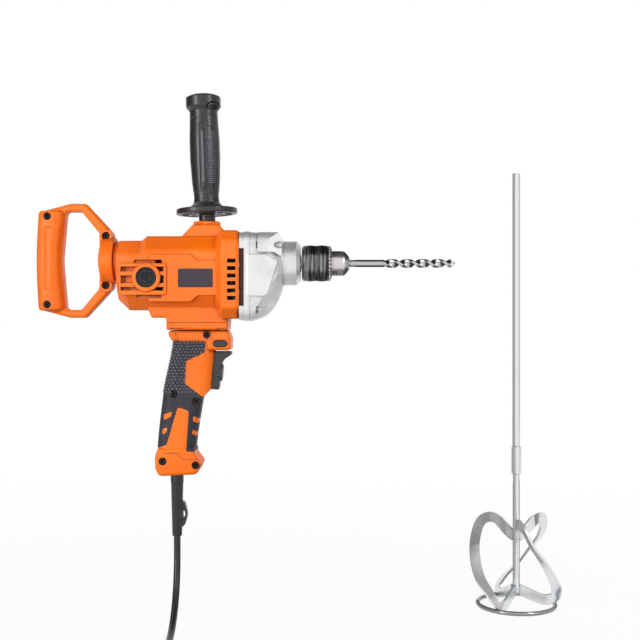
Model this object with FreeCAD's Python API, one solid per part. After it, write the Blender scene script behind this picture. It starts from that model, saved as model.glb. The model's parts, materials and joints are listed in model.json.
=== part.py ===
import FreeCAD
import Part
import math
import os

# Mixing drill in millimetres. X runs along the spindle towards the chuck, Z is up, Y goes away from the
# side with the plate. The origin is on the spindle axis, half way along the collar of the gear case.

# Fits
gap = 0.35
running = 0.05

# Gear train
pinion_teeth = 7
wheel_teeth = 42
wheel_module = 0.75
drive_teeth = 12
output_teeth = 46
output_module = 1.25
pinion_shift = 0.55
drive_shift = 0.3
backlash = 0.12
wheel_width = 6.0
output_width = 12.0

# Gear case and its nose collar
collar_radius = 25.7
collar_length = 19.8
collar_chamfer = 4.6
case_length = 43.2
case_half_width = 44.0
case_bottom = 66.6
case_corner = 13.0
case_wall = 3.4
case_lip = 0.8
case_lip_length = 6.0
panel_raise = 1.0
panel_top = 8.0
panel_tip = 0.5
panel_bottom = -39.0
vent_gap = 5.6
case_screw_radius = 2.0
case_screw_head = 3.4
case_screw_out = 38.0
case_screw_top = 19.0
case_screw_low = -54.4
case_screw_shank = 26.0
case_screw_depth = 10.0
lug_start = 13.9
lug_top = 15.0
lug_low = -50.0
lug_inner = 27.0
hood_low = 10.8
hood_tip = 5.0
hood_raise = 1.3
hood_inner = 24.0
hood_slot = 1.6
slope_low = -52.0
slope_nose_x = -19.0
slope_nose_y = 12.0
slope_nose_z = -51.0
gear_room = 0.6

# Motor housing
flange_length = 24.0
flange_half_width = 47.0
flange_top = 36.2
flange_bottom = 64.8
barrel_length = 116.0
barrel_half_width = 38.0
barrel_top = 30.5
barrel_rear_top = 25.3
barrel_bottom = 54.8
barrel_wall = 3.4
barrel_cut = 17.0
side_panel_raise = 1.5
vent_count = 6
vent_height = 4.5
vent_pitch = 8.4
vent_length = 9.6
plate_length = 39.0
plate_height = 20.8
plate_thickness = 0.8
brush_offset = 81.0
brush_boss_radius = 16.2
brush_boss_out = 43.6
brush_cap_radius = 11.5
louvre_raise = 3.4
neck_radius = 22.5
neck_up = 2.8
neck_visible = 6.6
pad_rear_x = -143.4
pad_front_x = -73.2
pad_line_z = -69.0
pad_notches = [(-139.0, -124.6), (-84.8, -74.0)]
pad_notch_height = 2.2
skirt_half_width = 19.0
skirt_foot_z = 26.0
brush_slots = [(20.2, 16.0, -14.5, 17.5), (12.2, 6.6, -29, 20), (2.2, -6.6, -29, 20), (-10.8, -15.0, -29, 20),
               (-19.8, -23.6, -11.5, 17)]

# Motor
stator_radius = 33.2
stator_length = 48.0
stator_bore = 20.9
armature_gap = 0.6
shaft_radius = 5.0
commutator_radius = 13.0
commutator_length = 17.0
fan_radius = 38.0
fan_blades = 14

# Rear handle
ring_length = 15.0
ring_radius = 27.4
rear_depth = 91.9
rear_half_height = 66.4
rear_thickness = 34.0
rear_top_front = -239.6
rear_top_rear = -257.5
arm_width = 9.3
arm_thickness = 18.0
bar_width = 29.6
bar_round = 13.5
bar_half_height = 58.0
channel_radius = 8.0
channel_depth = 1.5
ring_dome = 5.5
rear_boss_back = 10.5
rear_boss_raise = 1.0
rear_boss_offset = 28.8
rear_boss_radius = 7.6
screw_recess_radius = 4.6
screw_radius = 2.0
screw_head_depth = 2.6

# Side handle
handle_x = -99.0
handle_lean = 1.9
handle_length = 148.0
handle_cap_radius = 20.3
handle_grip_radius = 17.6
handle_flange_radius = 35.5
handle_stub_radius = 9.6
stud_radius = 5.9
socket_top = 48.5
socket_width = 30.4
panel_sunk = 1.2
panel_turn = 31.0
panel_half = 5.2
panel_low = 38.0
panel_high = 110.0
rib_low = 1.9
rib_high = 1.1
mark_low = 34.5
mark_high = 120.7
mark_depth = 0.7

# Pistol grip
pad_bottom = 77.5
pad_half_width = 24.0
grip_half_width = 19.5
grip_wall = 3.0
grip_round = 13.0
overmould = 1.6
grip_top_half = 21.0
foot_half_width = 21.0
trigger_half_width = 9.0
trigger_travel = 7.0
dial_radius = 10.0
dial_width = 5.6
selector_place = (-82.2, -93.2)
selector_length = 15.6
selector_height = 7.2

# Pistol grip seen from the side: level, rear and front of each section, then outlines of (x, z) corners
grip_upper_rows = [(-84.0, -137.4, -89.0), (-95.0, -138.2, -89.4), (-129.0, -145.0, -91.6),
                   (-157.0, -149.9, -94.4)]
grip_lower_rows = [(-140.0, -147.4, -100.5), (-170.0, -151.6, -105.6), (-200.0, -154.9, -110.2),
                   (-219.0, -156.3, -112.4)]
grip_wedge = [(-120, -172.1), (-80, -132.3), (-60, -132.3), (-60, -180), (-120, -180)]
block_outline = [(-144.4, -pad_bottom - gap), (-73.4, -pad_bottom - gap), (-70.2, -87.0), (-70.2, -101.0),
                 (-97.4, -101.0), (-98.9, -91.2), (-138.2, -90.3)]
block_radii = [4, 4, 4, 4, 1.5, 1.5, 5]
foot_outline = [(-154.4, -214.0), (-157.6, -223.6), (-157.2, -236.6), (-153.4, -246.2), (-109.6, -244.2),
                (-102.9, -231.2), (-111.2, -220.8), (-112.4, -212.0)]
foot_radii = [4, 6, 6, 6, 6, 5, 7, 4]
cover_outline = [(-170, -90.3), (-98.9, -90.6), (-99.9, -103.4), (-121.2, -113.4), (-122.7, -139.1),
                 (-102.4, -154.6), (-80, -132.3), (-80, -218.4), (-121.4, -217.6), (-118.3, -170.9),
                 (-130.8, -166.4), (-143.7, -209.8), (-170, -219.0)]
cover_radii = [0, 2, 2, 4, 4, 1, 0, 0, 2, 3, 3, 2, 0]
cover_windows = [[(-147.3, -175.1), (-137.3, -171.3), (-139.0, -177.3), (-147.3, -181.7)],
                 [(-148.8, -192.1), (-142.8, -189.4), (-143.9, -194.9), (-149.1, -198.8)],
                 [(-113.0, -176.8), (-106.8, -180.6), (-107.9, -185.8), (-113.6, -182.8)],
                 [(-113.9, -192.1), (-108.9, -196.1), (-109.8, -200.8), (-114.7, -197.7)]]
foot_seam = [(-146.0, -219.0), (-131.0, -219.0), (-125.0, -226.0), (-104.0, -227.0)]
block_dip = [(-135.0, -80.2), (-90.0, -80.2), (-90.0, -88.8), (-130.5, -88.8)]
grip_screws = [(-97.6, -83.0, grip_top_half), (-135.8, -151.3, grip_half_width),
               (-110.1, -160.1, grip_half_width), (-148.1, -228.7, foot_half_width),
               (-110.3, -233.2, foot_half_width)]
trigger_pull = (-0.9964, 0.0847)
dial_place = (-83.2, -127.4)
dial_room = (-139.0, -115.5)
dial_notches = 24

# Chuck and bit
chuck_start = 11.6
sleeve_radius = 21.2
sleeve_length = 31.4
teeth_length = 3.6
chuck_teeth = 30
nose_radius = 14.5
nose_length = 14.2
cone_length = 6.6
key_hole_radius = 2.9
jaw_radius = 3.0
jaw_length = 26.0
jaw_lean = 10.0
jaw_travel = 8.0
bit_radius = 4.3
bit_flute_radius = 5.1
bit_shank_length = 40.0
bit_flute_length = 84.0
bit_pitch = 36.0

# Cord
cord_radius = 4.0
guard_length = 69.5
guard_top_radius = 7.6
guard_end_radius = 5.7
loop_z = -43.4
loop_half_height = 16.4
loop_half_width = 5.6
loop_out = 12.9
floor_z = -425.0
coil_pitch = 8.7
coil_outer = 57.0
coil_in_turns = 3.25
coil_out_turns = 3.0
coil_tail = 45.0
coil_y = -171.0
tie_thickness = 1.0
tie_width = 12.0
plug_length = 42.0
plug_half_width = 15.0
pin_radius = 2.4
pin_length = 19.0
pin_root = 8.0
pin_root_radius = 1.9
pin_spacing = 18.6

# Paddle
paddle_x = 279.5
paddle_y = 92.0
paddle_height = 543.0
paddle_shank_across = 8.4
paddle_shaft_radius = 4.4
coupler_radius = 6.2
coupler_length = 34.0
coupler_up = 166.0
paddle_ring_radius = 48.0
paddle_wire = 2.7
blade_width = 12.6
blade_thickness = 3.0
blade_twist = 95.0
blade_height = 107.7
shaft_end = 16.0

# Stations that follow from the sizes above
wheel_centres = wheel_module * (pinion_teeth + wheel_teeth) / 2.0
output_centres = output_module * (drive_teeth + output_teeth) / 2.0
layshaft_z = -output_centres
motor_z = layshaft_z + wheel_centres
output_tip = output_module * (output_teeth / 2.0 + 1.0 - drive_shift)
case_top = output_tip + 1.0 + case_wall
case_front_x = -collar_length / 2.0
case_rear_x = case_front_x - case_length
flange_front_x = case_rear_x - vent_gap
flange_rear_x = flange_front_x - flange_length
barrel_rear_x = flange_rear_x - barrel_length
brush_x = flange_rear_x - brush_offset
wheel_x = case_rear_x + 1.6
output_x = wheel_x + wheel_width + 3.0
stator_front_x = flange_rear_x - 16.0
stator_rear_x = stator_front_x - stator_length
ring_front_x = barrel_rear_x - neck_visible
ring_rear_x = ring_front_x - ring_length
handle_rear_x = ring_front_x - rear_depth
sleeve_x = chuck_start
nose_x = sleeve_x + sleeve_length + teeth_length
cone_x = nose_x + nose_length
guard_x = -134.2
guard_z = -248.6


def vec(x=0.0, y=0.0, z=0.0):
    """Vector in millimetres."""
    return FreeCAD.Vector(x, y, z)


def rounded_wire(corners, radii):
    """Closed wire through corners in one plane, each corner rounded by its own radius."""
    if not isinstance(radii, (list, tuple)):
        radii = [radii] * len(corners)
    edges = []
    first = None
    last = None
    count = len(corners)
    for i, corner in enumerate(corners):
        back = (corners[i - 1] - corner).normalize()
        ahead = (corners[(i + 1) % count] - corner).normalize()
        half = back.getAngle(ahead) / 2.0
        start = corner
        end = corner
        if radii[i] > 0:
            start = corner + back * (radii[i] / math.tan(half))
            end = corner + ahead * (radii[i] / math.tan(half))
            inward = (back + ahead).normalize()
            middle = corner + inward * (radii[i] / math.sin(half) - radii[i])
        if last is None:
            first = start
        elif last.distanceToPoint(start) > 1e-6:
            edges.append(Part.LineSegment(last, start).toShape())
        if radii[i] > 0:
            edges.append(Part.Arc(start, middle, end).toShape())
        last = end
    if last.distanceToPoint(first) > 1e-6:
        edges.append(Part.LineSegment(last, first).toShape())
    return Part.Wire(edges)


def slab(outline, radii, y0, y1):
    """Prism across Y from an outline of (x, z) corners."""
    wire = rounded_wire([vec(x, y0, z) for x, z in outline], radii)
    return Part.Face(wire).extrude(vec(0, y1 - y0, 0))


def bar(outline, radii, x0, x1):
    """Prism along X from an outline of (y, z) corners."""
    wire = rounded_wire([vec(x0, y, z) for y, z in outline], radii)
    return Part.Face(wire).extrude(vec(x1 - x0, 0, 0))


def box(x0, x1, y0, y1, z0, z1):
    """Box between two corners."""
    return Part.makeBox(x1 - x0, y1 - y0, z1 - z0, vec(x0, y0, z0))


def rod(start, along, radius, length):
    """Cylinder from a point along a direction."""
    return Part.makeCylinder(radius, length, start, along)


def turned_x(profile, y=0.0, z=0.0):
    """Solid turned about an axis along X from (x, radius) corners."""
    corners = [vec(x, 0, r) for x, r in profile]
    face = Part.Face(Part.makePolygon(corners + [corners[0]]))
    solid = face.revolve(vec(), vec(1), 360)
    solid.translate(vec(0, y, z))
    return solid


def turned_z(profile, radii=0, x=0.0, y=0.0):
    """Solid turned about an axis along Z from (radius, z) corners, with rounded corners."""
    face = Part.Face(rounded_wire([vec(r, 0, z) for r, z in profile], radii))
    solid = face.revolve(vec(), vec(0, 0, 1), 360)
    solid.translate(vec(x, y, 0))
    return solid


def tube_x(x0, x1, inner, outer, y=0.0, z=0.0):
    """Ring about an axis along X."""
    return turned_x([(x0, inner), (x1, inner), (x1, outer), (x0, outer)], y, z)


def joined(first, *others):
    """One solid from several that touch."""
    return first.fuse(list(others)).removeSplitter()


def softened(solid, radius, chosen):
    """Round the edges that a test picks, or leave them where no round of that size fits."""
    if len(solid.Solids) == 1:
        solid = solid.Solids[0]
    edges = [e for e in solid.Edges if chosen(e)]
    if not edges:
        print("no edge to round")
        return solid
    try:
        result = solid.makeFillet(radius, edges)
    except (Part.OCCError, ValueError):
        print("no room for a round of", radius)
        return solid
    if result.isValid() and result.Volume > 0:
        return result
    print("no room for a round of", radius)
    return solid


def at_y(limit):
    """Test for edges that lie in the planes y = limit and y = -limit."""
    return lambda e: all(abs(abs(v.Point.y) - limit) < 1e-4 for v in e.Vertexes)


def at_x(*values):
    """Test for edges that lie in planes across X."""
    return lambda e: any(all(abs(v.Point.x - x) < 1e-4 for v in e.Vertexes) for x in values)


def at_z(*values):
    """Test for edges that lie in level planes."""
    return lambda e: any(all(abs(v.Point.z - z) < 1e-4 for v in e.Vertexes) for z in values)


def save(node, *solids):
    """Write one node's solids to its own file."""
    found = [s for shape in solids for s in shape.Solids]
    shape = found[0] if len(found) == 1 else Part.makeCompound(found)
    shape.exportStep("parts/%s.step" % node)
    print(node, len(found), round(sum(s.Volume for s in found)), shape.isValid())


def octagon(x, half_width, low, high, cut, radius):
    """Section of the housing across X: a rectangle with its four corners cut and rounded."""
    corners = [(half_width - cut, high), (half_width, high - cut), (half_width, low + cut),
               (half_width - cut, low), (cut - half_width, low), (-half_width, low + cut),
               (-half_width, high - cut), (cut - half_width, high)]
    return rounded_wire([vec(x, y, z) for y, z in corners], radius)


def rectangle(x, half_width, low, high, radius):
    """Section across X: a rectangle with round corners."""
    corners = [(half_width, high), (half_width, low), (-half_width, low), (-half_width, high)]
    return rounded_wire([vec(x, y, z) for y, z in corners], radius)


def gear(teeth, module, shift, facing, offset, x0, x1, z, bore):
    """Involute gear along X. facing is +1 or -1 for the mate above or below; offset 0 puts a tooth there."""
    pitch = module * teeth / 2.0
    base = pitch * math.cos(math.radians(20))
    tip = pitch + module * (1.0 + shift)
    root = pitch - module * (1.25 - shift)
    flat = math.tan(math.radians(20)) - math.radians(20)
    thick = (math.pi / 2 + 2 * shift * math.tan(math.radians(20))) / teeth - backlash / pitch / 2.0
    start = max(base, root)
    while thick + flat - math.tan(math.acos(base / tip)) + math.acos(base / tip) < 0.2 * module / tip:
        tip -= 0.02 * module
    flank = []
    for k in range(5):
        r = start + (tip - start) * k / 4.0
        angle = math.acos(min(1.0, base / r))
        flank.append((r, thick + flat - (math.tan(angle) - angle)))
    if root < base:
        flank.insert(0, (root, flank[0][1]))
    corners = []
    for n in range(teeth):
        middle = 2 * math.pi * (n + offset) / teeth
        for r, a in flank:
            corners.append((r, middle - a))
        for r, a in reversed(flank):
            corners.append((r, middle + a))
    points = [vec(x0, r * math.sin(a), z + facing * r * math.cos(a)) for r, a in corners]
    solid = Part.Face(Part.makePolygon(points + [points[0]])).extrude(vec(x1 - x0, 0, 0))
    if bore > 0:
        solid = solid.cut(rod(vec(x0 - 1, 0, z), vec(1), bore, x1 - x0 + 2))
    return solid


def pipe(wire, radius):
    """Round tube along a wire of tangent lines and arcs."""
    edge = wire.Edges[0]
    tangent = edge.tangentAt(edge.FirstParameter)
    start = edge.valueAt(edge.FirstParameter)
    section = Part.Wire(Part.makeCircle(radius, start, tangent))
    shell = Part.BRepOffsetAPI.MakePipeShell(wire)
    shell.setFrenetMode(False)
    shell.add(section)
    shell.build()
    shell.makeSolid()
    return Part.Solid(shell.shape())


def eased(points):
    """Wire of straight runs with a tangent arc at each inner point. Returns it with the least radius."""
    edges = []
    least = 1e9
    last = points[0]
    for before, here, after in zip(points, points[1:], points[2:]):
        back = (before - here).normalize()
        ahead = (after - here).normalize()
        half = back.getAngle(ahead) / 2.0
        cut = 0.45 * min(here.distanceToPoint(before), here.distanceToPoint(after))
        radius = cut * math.tan(half)
        least = min(least, radius)
        inward = (back + ahead).normalize()
        middle = here + inward * (radius / math.sin(half) - radius)
        edges.append(Part.LineSegment(last, here + back * cut).toShape())
        edges.append(Part.Arc(here + back * cut, middle, here + ahead * cut).toShape())
        last = here + ahead * cut
    edges.append(Part.LineSegment(last, points[-1]).toShape())
    return Part.Wire(edges), least


def arc_from(start, tangent, end):
    """Arc that leaves a point along a tangent and reaches another point."""
    chord = end - start
    turn = tangent.getAngle(chord)
    if turn < 1e-5:
        return Part.LineSegment(start, end).toShape()
    side = tangent - chord * (tangent.dot(chord) / chord.dot(chord))
    middle = start + chord * 0.5 + side.normalize() * (chord.Length / 2.0 * math.tan(turn / 2.0))
    return Part.Arc(start, middle, end).toShape()


def biarcs(points, tangents):
    """Edges of two tangent arcs between each pair of points."""
    edges = []
    for p, q, s, t in zip(points, points[1:], tangents, tangents[1:]):
        span = q - p
        total = s + t
        lead = 2 * (1 - s.dot(t))
        along = span.dot(total)
        reach = (-along + math.sqrt(along * along + lead * span.dot(span))) / lead
        middle = (p + s * reach + q - t * reach) * 0.5
        edges.append(arc_from(p, s, middle))
        back = arc_from(q, t * -1, middle)
        back.reverse()
        edges.append(back)
    return edges


def screw(point, along, shank_radius, length, head_radius, head):
    """Screw with a domed head and a hexagon socket; the point is the underside of the head."""
    body = joined(rod(point, along, shank_radius, length), rod(point, along * -1, head_radius, head))
    top = point + along * -head
    spin = FreeCAD.Rotation(vec(0, 0, 1), along)
    ring = [top + spin.multVec(vec(math.cos(a), math.sin(a), 0) * (head_radius * 0.5))
            for a in [k * math.pi / 3 for k in range(6)]]
    socket = Part.Face(Part.makePolygon(ring + [ring[0]])).extrude(along * (head * 0.6))
    return body.cut(socket)


def case_form(inset, x0, x1):
    """Body of the gear case between two stations, smaller all round by an inset."""
    sections = []
    for share in (0.0, 0.3, 0.55, 0.72, 0.85, 0.94, 1.0):
        fall = 1 - (1 - share ** 2.6) ** 0.8
        x = x0 + (x1 - x0) * share
        half = case_half_width + (collar_radius - case_half_width) * fall - inset
        low = -(case_bottom + (collar_radius - case_bottom) * fall - inset)
        high = case_top + (collar_radius - case_top) * fall - inset
        corner = case_corner + (collar_radius * 0.97 - case_corner) * fall - inset * 0.9
        sections.append(rectangle(x, half, low, high, corner))
    return Part.makeLoft(sections, True, False)


def beyond(first, second, third, reach=150.0):
    """Block on the front side of the plane through three points."""
    normal = (second - first).cross(third - first).normalize()
    if normal.x < 0:
        normal = normal * -1
    block = Part.makeBox(2 * reach, 2 * reach, reach, vec(-reach, -reach, 0))
    block.Placement = FreeCAD.Placement(first, FreeCAD.Rotation(vec(0, 0, 1), normal))
    return block, normal


def case_slopes(inset):
    """Blocks beyond the long slope on each side of the gear case, further in by an inset."""
    blocks = []
    for side in (-1, 1):
        block, normal = beyond(vec(case_front_x - 5, side * case_half_width, panel_tip),
                               vec(case_rear_x + lug_start, side * case_half_width, slope_low),
                               vec(slope_nose_x, side * slope_nose_y, slope_nose_z))
        block.translate(normal * -inset)
        blocks.append(block)
    return Part.makeCompound(blocks)


def case_hood(side):
    """Boxy hood over the upper screw on one side of the gear case, with its front cut back."""
    rear = case_rear_x + lug_start + hood_slot
    wide = case_half_width + hood_raise
    y0, y1 = sorted((side * hood_inner, side * wide))
    hood = slab([(rear, hood_low), (rear, case_top), (case_front_x - 6, case_top),
                 (case_front_x - 1, case_top - 7), (case_front_x - 0.5, hood_tip),
                 (case_front_x - 9, hood_low)], [1, 0, 4, 3, 2, 3], y0, y1)
    around = [(wide, case_top), (wide, -case_bottom), (-wide, -case_bottom), (-wide, case_top)]
    hood = hood.common(bar(around, case_corner, rear, case_front_x))
    bevel = vec(case_front_x - 15, side * wide, 0)
    front = beyond(bevel, bevel + vec(0, 0, 10), vec(case_front_x, side * (wide - 9), 0))[0]
    return hood.cut(front)


def case_screw_places():
    """Centres of the four gear case screws."""
    return [(side * case_screw_out, z) for side in (-1, 1) for z in (case_screw_top, case_screw_low)]


def make_gear_case():
    """Cast gear case with nose collar, corner ears, sloped cheeks, raised panels, hoods and screw pockets."""
    outer = case_form(0, case_rear_x, case_front_x).cut(case_slopes(0))
    lip = bar([(case_half_width + case_lip, case_top + case_lip),
               (case_half_width + case_lip, -case_bottom - case_lip),
               (-case_half_width - case_lip, -case_bottom - case_lip),
               (-case_half_width - case_lip, case_top + case_lip)],
              case_corner + case_lip, case_rear_x, case_rear_x + case_lip_length)
    nose_end = collar_length / 2.0
    nose = turned_x([(case_front_x - 6, 0), (nose_end, 0), (nose_end, collar_radius - collar_chamfer),
                     (nose_end - collar_chamfer, collar_radius), (case_front_x - 6, collar_radius)])
    rear = case_rear_x + 3.4
    panel = [(rear, panel_top), (case_front_x - 19.4, panel_top), (case_front_x - 5, panel_tip),
             (case_front_x - 16.4, panel_bottom + 3.6), (case_front_x - 19.4, panel_bottom),
             (rear, panel_bottom)]
    wide = case_half_width + panel_raise
    raised = softened(slab(panel, [0.8, 5, 2, 2, 2, 0.8], -wide, wide), 0.6, at_y(wide))
    body = joined(outer, lip, nose, raised, case_hood(-1), case_hood(1))
    ears = bar([(case_half_width, case_top), (case_half_width, -case_bottom),
                (-case_half_width, -case_bottom), (-case_half_width, case_top)],
               case_corner, flange_front_x, case_rear_x + 0.5)
    span = case_half_width + 5
    start = flange_front_x - 1
    ears = ears.cut(box(start, case_rear_x, -span, span, lug_low, lug_top))
    ears = ears.cut(box(start, case_rear_x, -lug_inner, lug_inner, -case_bottom - 5, case_top + 5))
    body = joined(body, ears)
    hollow = case_form(case_wall, case_rear_x - 0.01, case_front_x - 3.0).cut(case_slopes(case_wall))
    body = body.cut(hollow)
    room = output_x + output_width + gear_room - case_rear_x
    body = body.cut(rod(vec(case_rear_x, 0, 0), vec(1), output_tip + gear_room, room))
    boss = rod(vec(output_x + output_width + 3, 0, layshaft_z), vec(1), 10.0, 14.0)
    body = joined(body, boss.common(outer))
    slot_x = case_rear_x + lug_start
    pocket = case_screw_head + 0.4
    posts = [rod(vec(case_rear_x, y, z), vec(1), case_screw_head + 1.8, case_length).common(outer)
             for y, z in case_screw_places()]
    body = body.fuse(posts)
    for y, z in case_screw_places():
        body = body.cut(rod(vec(case_rear_x + case_screw_depth, y, z), vec(1), pocket, case_length))
        body = body.cut(rod(vec(flange_front_x - 1, y, z), vec(1), case_screw_radius + 0.1, 40))
        y0, y1 = sorted((y, math.copysign(span, y)))
        body = body.cut(box(slot_x, slot_x + hood_slot, y0, y1, z - pocket, z + pocket))
    body = body.cut(rod(vec(case_front_x - 9, 0, 0), vec(1), 15.0, 15.9))
    body = body.cut(rod(vec(case_front_x - 9, 0, 0), vec(1), 12.0, 40))
    body = body.cut(rod(vec(output_x + output_width + 2.9, 0, layshaft_z), vec(1), 7.5, 5.2))
    return body


def make_gear_plate():
    """Dark plate between motor and gears, with seats for the rear bearings."""
    inset = 3.2
    plate = bar([(case_half_width - inset, case_top - inset), (case_half_width - inset, inset - case_bottom),
                 (inset - case_half_width, inset - case_bottom), (inset - case_half_width, case_top - inset)],
                case_corner - inset, flange_front_x + gap, case_rear_x - gap)
    plate = plate.cut(box(flange_front_x - 1, case_rear_x + 1, -60, 60, lug_top - gap, 60))
    plate = plate.cut(box(flange_front_x - 1, case_rear_x + 1, -60, 60, -90, lug_low + gap))
    seat = rod(vec(flange_front_x - 7, 0, motor_z), vec(1), 12.6, 8.0)
    bush_seat = rod(vec(case_rear_x - 1, 0, 0), vec(1), 9.6, 7.0)
    plate = joined(plate, seat, bush_seat)
    plate = plate.cut(rod(vec(flange_front_x - 8, 0, motor_z), vec(1), 10.0, 8.0))
    plate = plate.cut(rod(vec(flange_front_x - 8, 0, motor_z), vec(1), 6.5, 40.0))
    plate = plate.cut(rod(vec(case_rear_x, 0, 0), vec(1), 8.0, 20.0))
    plate = plate.cut(rod(vec(flange_front_x - 1, 0, layshaft_z), vec(1), 7.5, 20.0))
    return plate


def make_train():
    """Armature pinion, layshaft, spindle and their gears and bearings."""
    face = output_x + output_width
    wheel = gear(wheel_teeth, wheel_module, -pinion_shift, 1, 0.5, wheel_x, wheel_x + wheel_width, layshaft_z,
                 6.0)
    drive = gear(drive_teeth, output_module, drive_shift, 1, 0.0, output_x - 0.5, face + 0.5, layshaft_z, 0)
    end = face + 8.0
    shaft = turned_x([(flange_front_x + 0.6, 0), (end, 0), (end, shaft_radius), (face, shaft_radius),
                      (face, 6.0), (wheel_x - 0.6, 6.0), (wheel_x - 0.6, shaft_radius),
                      (flange_front_x + 0.6, shaft_radius)], 0, layshaft_z)
    save("layshaft_gear", wheel)
    save("layshaft", joined(shaft, drive))
    save("layshaft_bushes",
         tube_x(flange_front_x + gap, case_rear_x - gap, shaft_radius + running, 7.5, 0, layshaft_z),
         tube_x(end - 5, end, shaft_radius + running, 7.5, 0, layshaft_z))
    output = gear(output_teeth, output_module, -drive_shift, -1, 0.5, output_x, face, 0, 9.0)
    holes = [rod(vec(output_x - 1, 18.5 * math.cos(a), 18.5 * math.sin(a)), vec(1), 4.0, 30)
             for a in [k * math.pi / 3 for k in range(6)]]
    save("spindle_gear", output.cut(Part.makeCompound(holes)))
    save("spindle", turned_x([(case_rear_x + 0.4, 0), (chuck_start + 14, 0), (chuck_start + 14, 6.3),
                              (chuck_start - 0.8, 6.3), (chuck_start - 0.8, 9.9), (face + 3, 10.0),
                              (face + 3, 12.0), (face, 12.0), (face, 9.0), (output_x - 0.5, 9.0),
                              (output_x - 0.5, 6.0), (case_rear_x + 0.4, 6.0)]))
    save("spindle_bush", tube_x(case_rear_x, case_rear_x + 6.0, 6.0 + running, 8.0))
    save("spindle_bearing", tube_x(case_front_x + 1.0, case_front_x + 6.9, 10.0 + running, 15.0))


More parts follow.
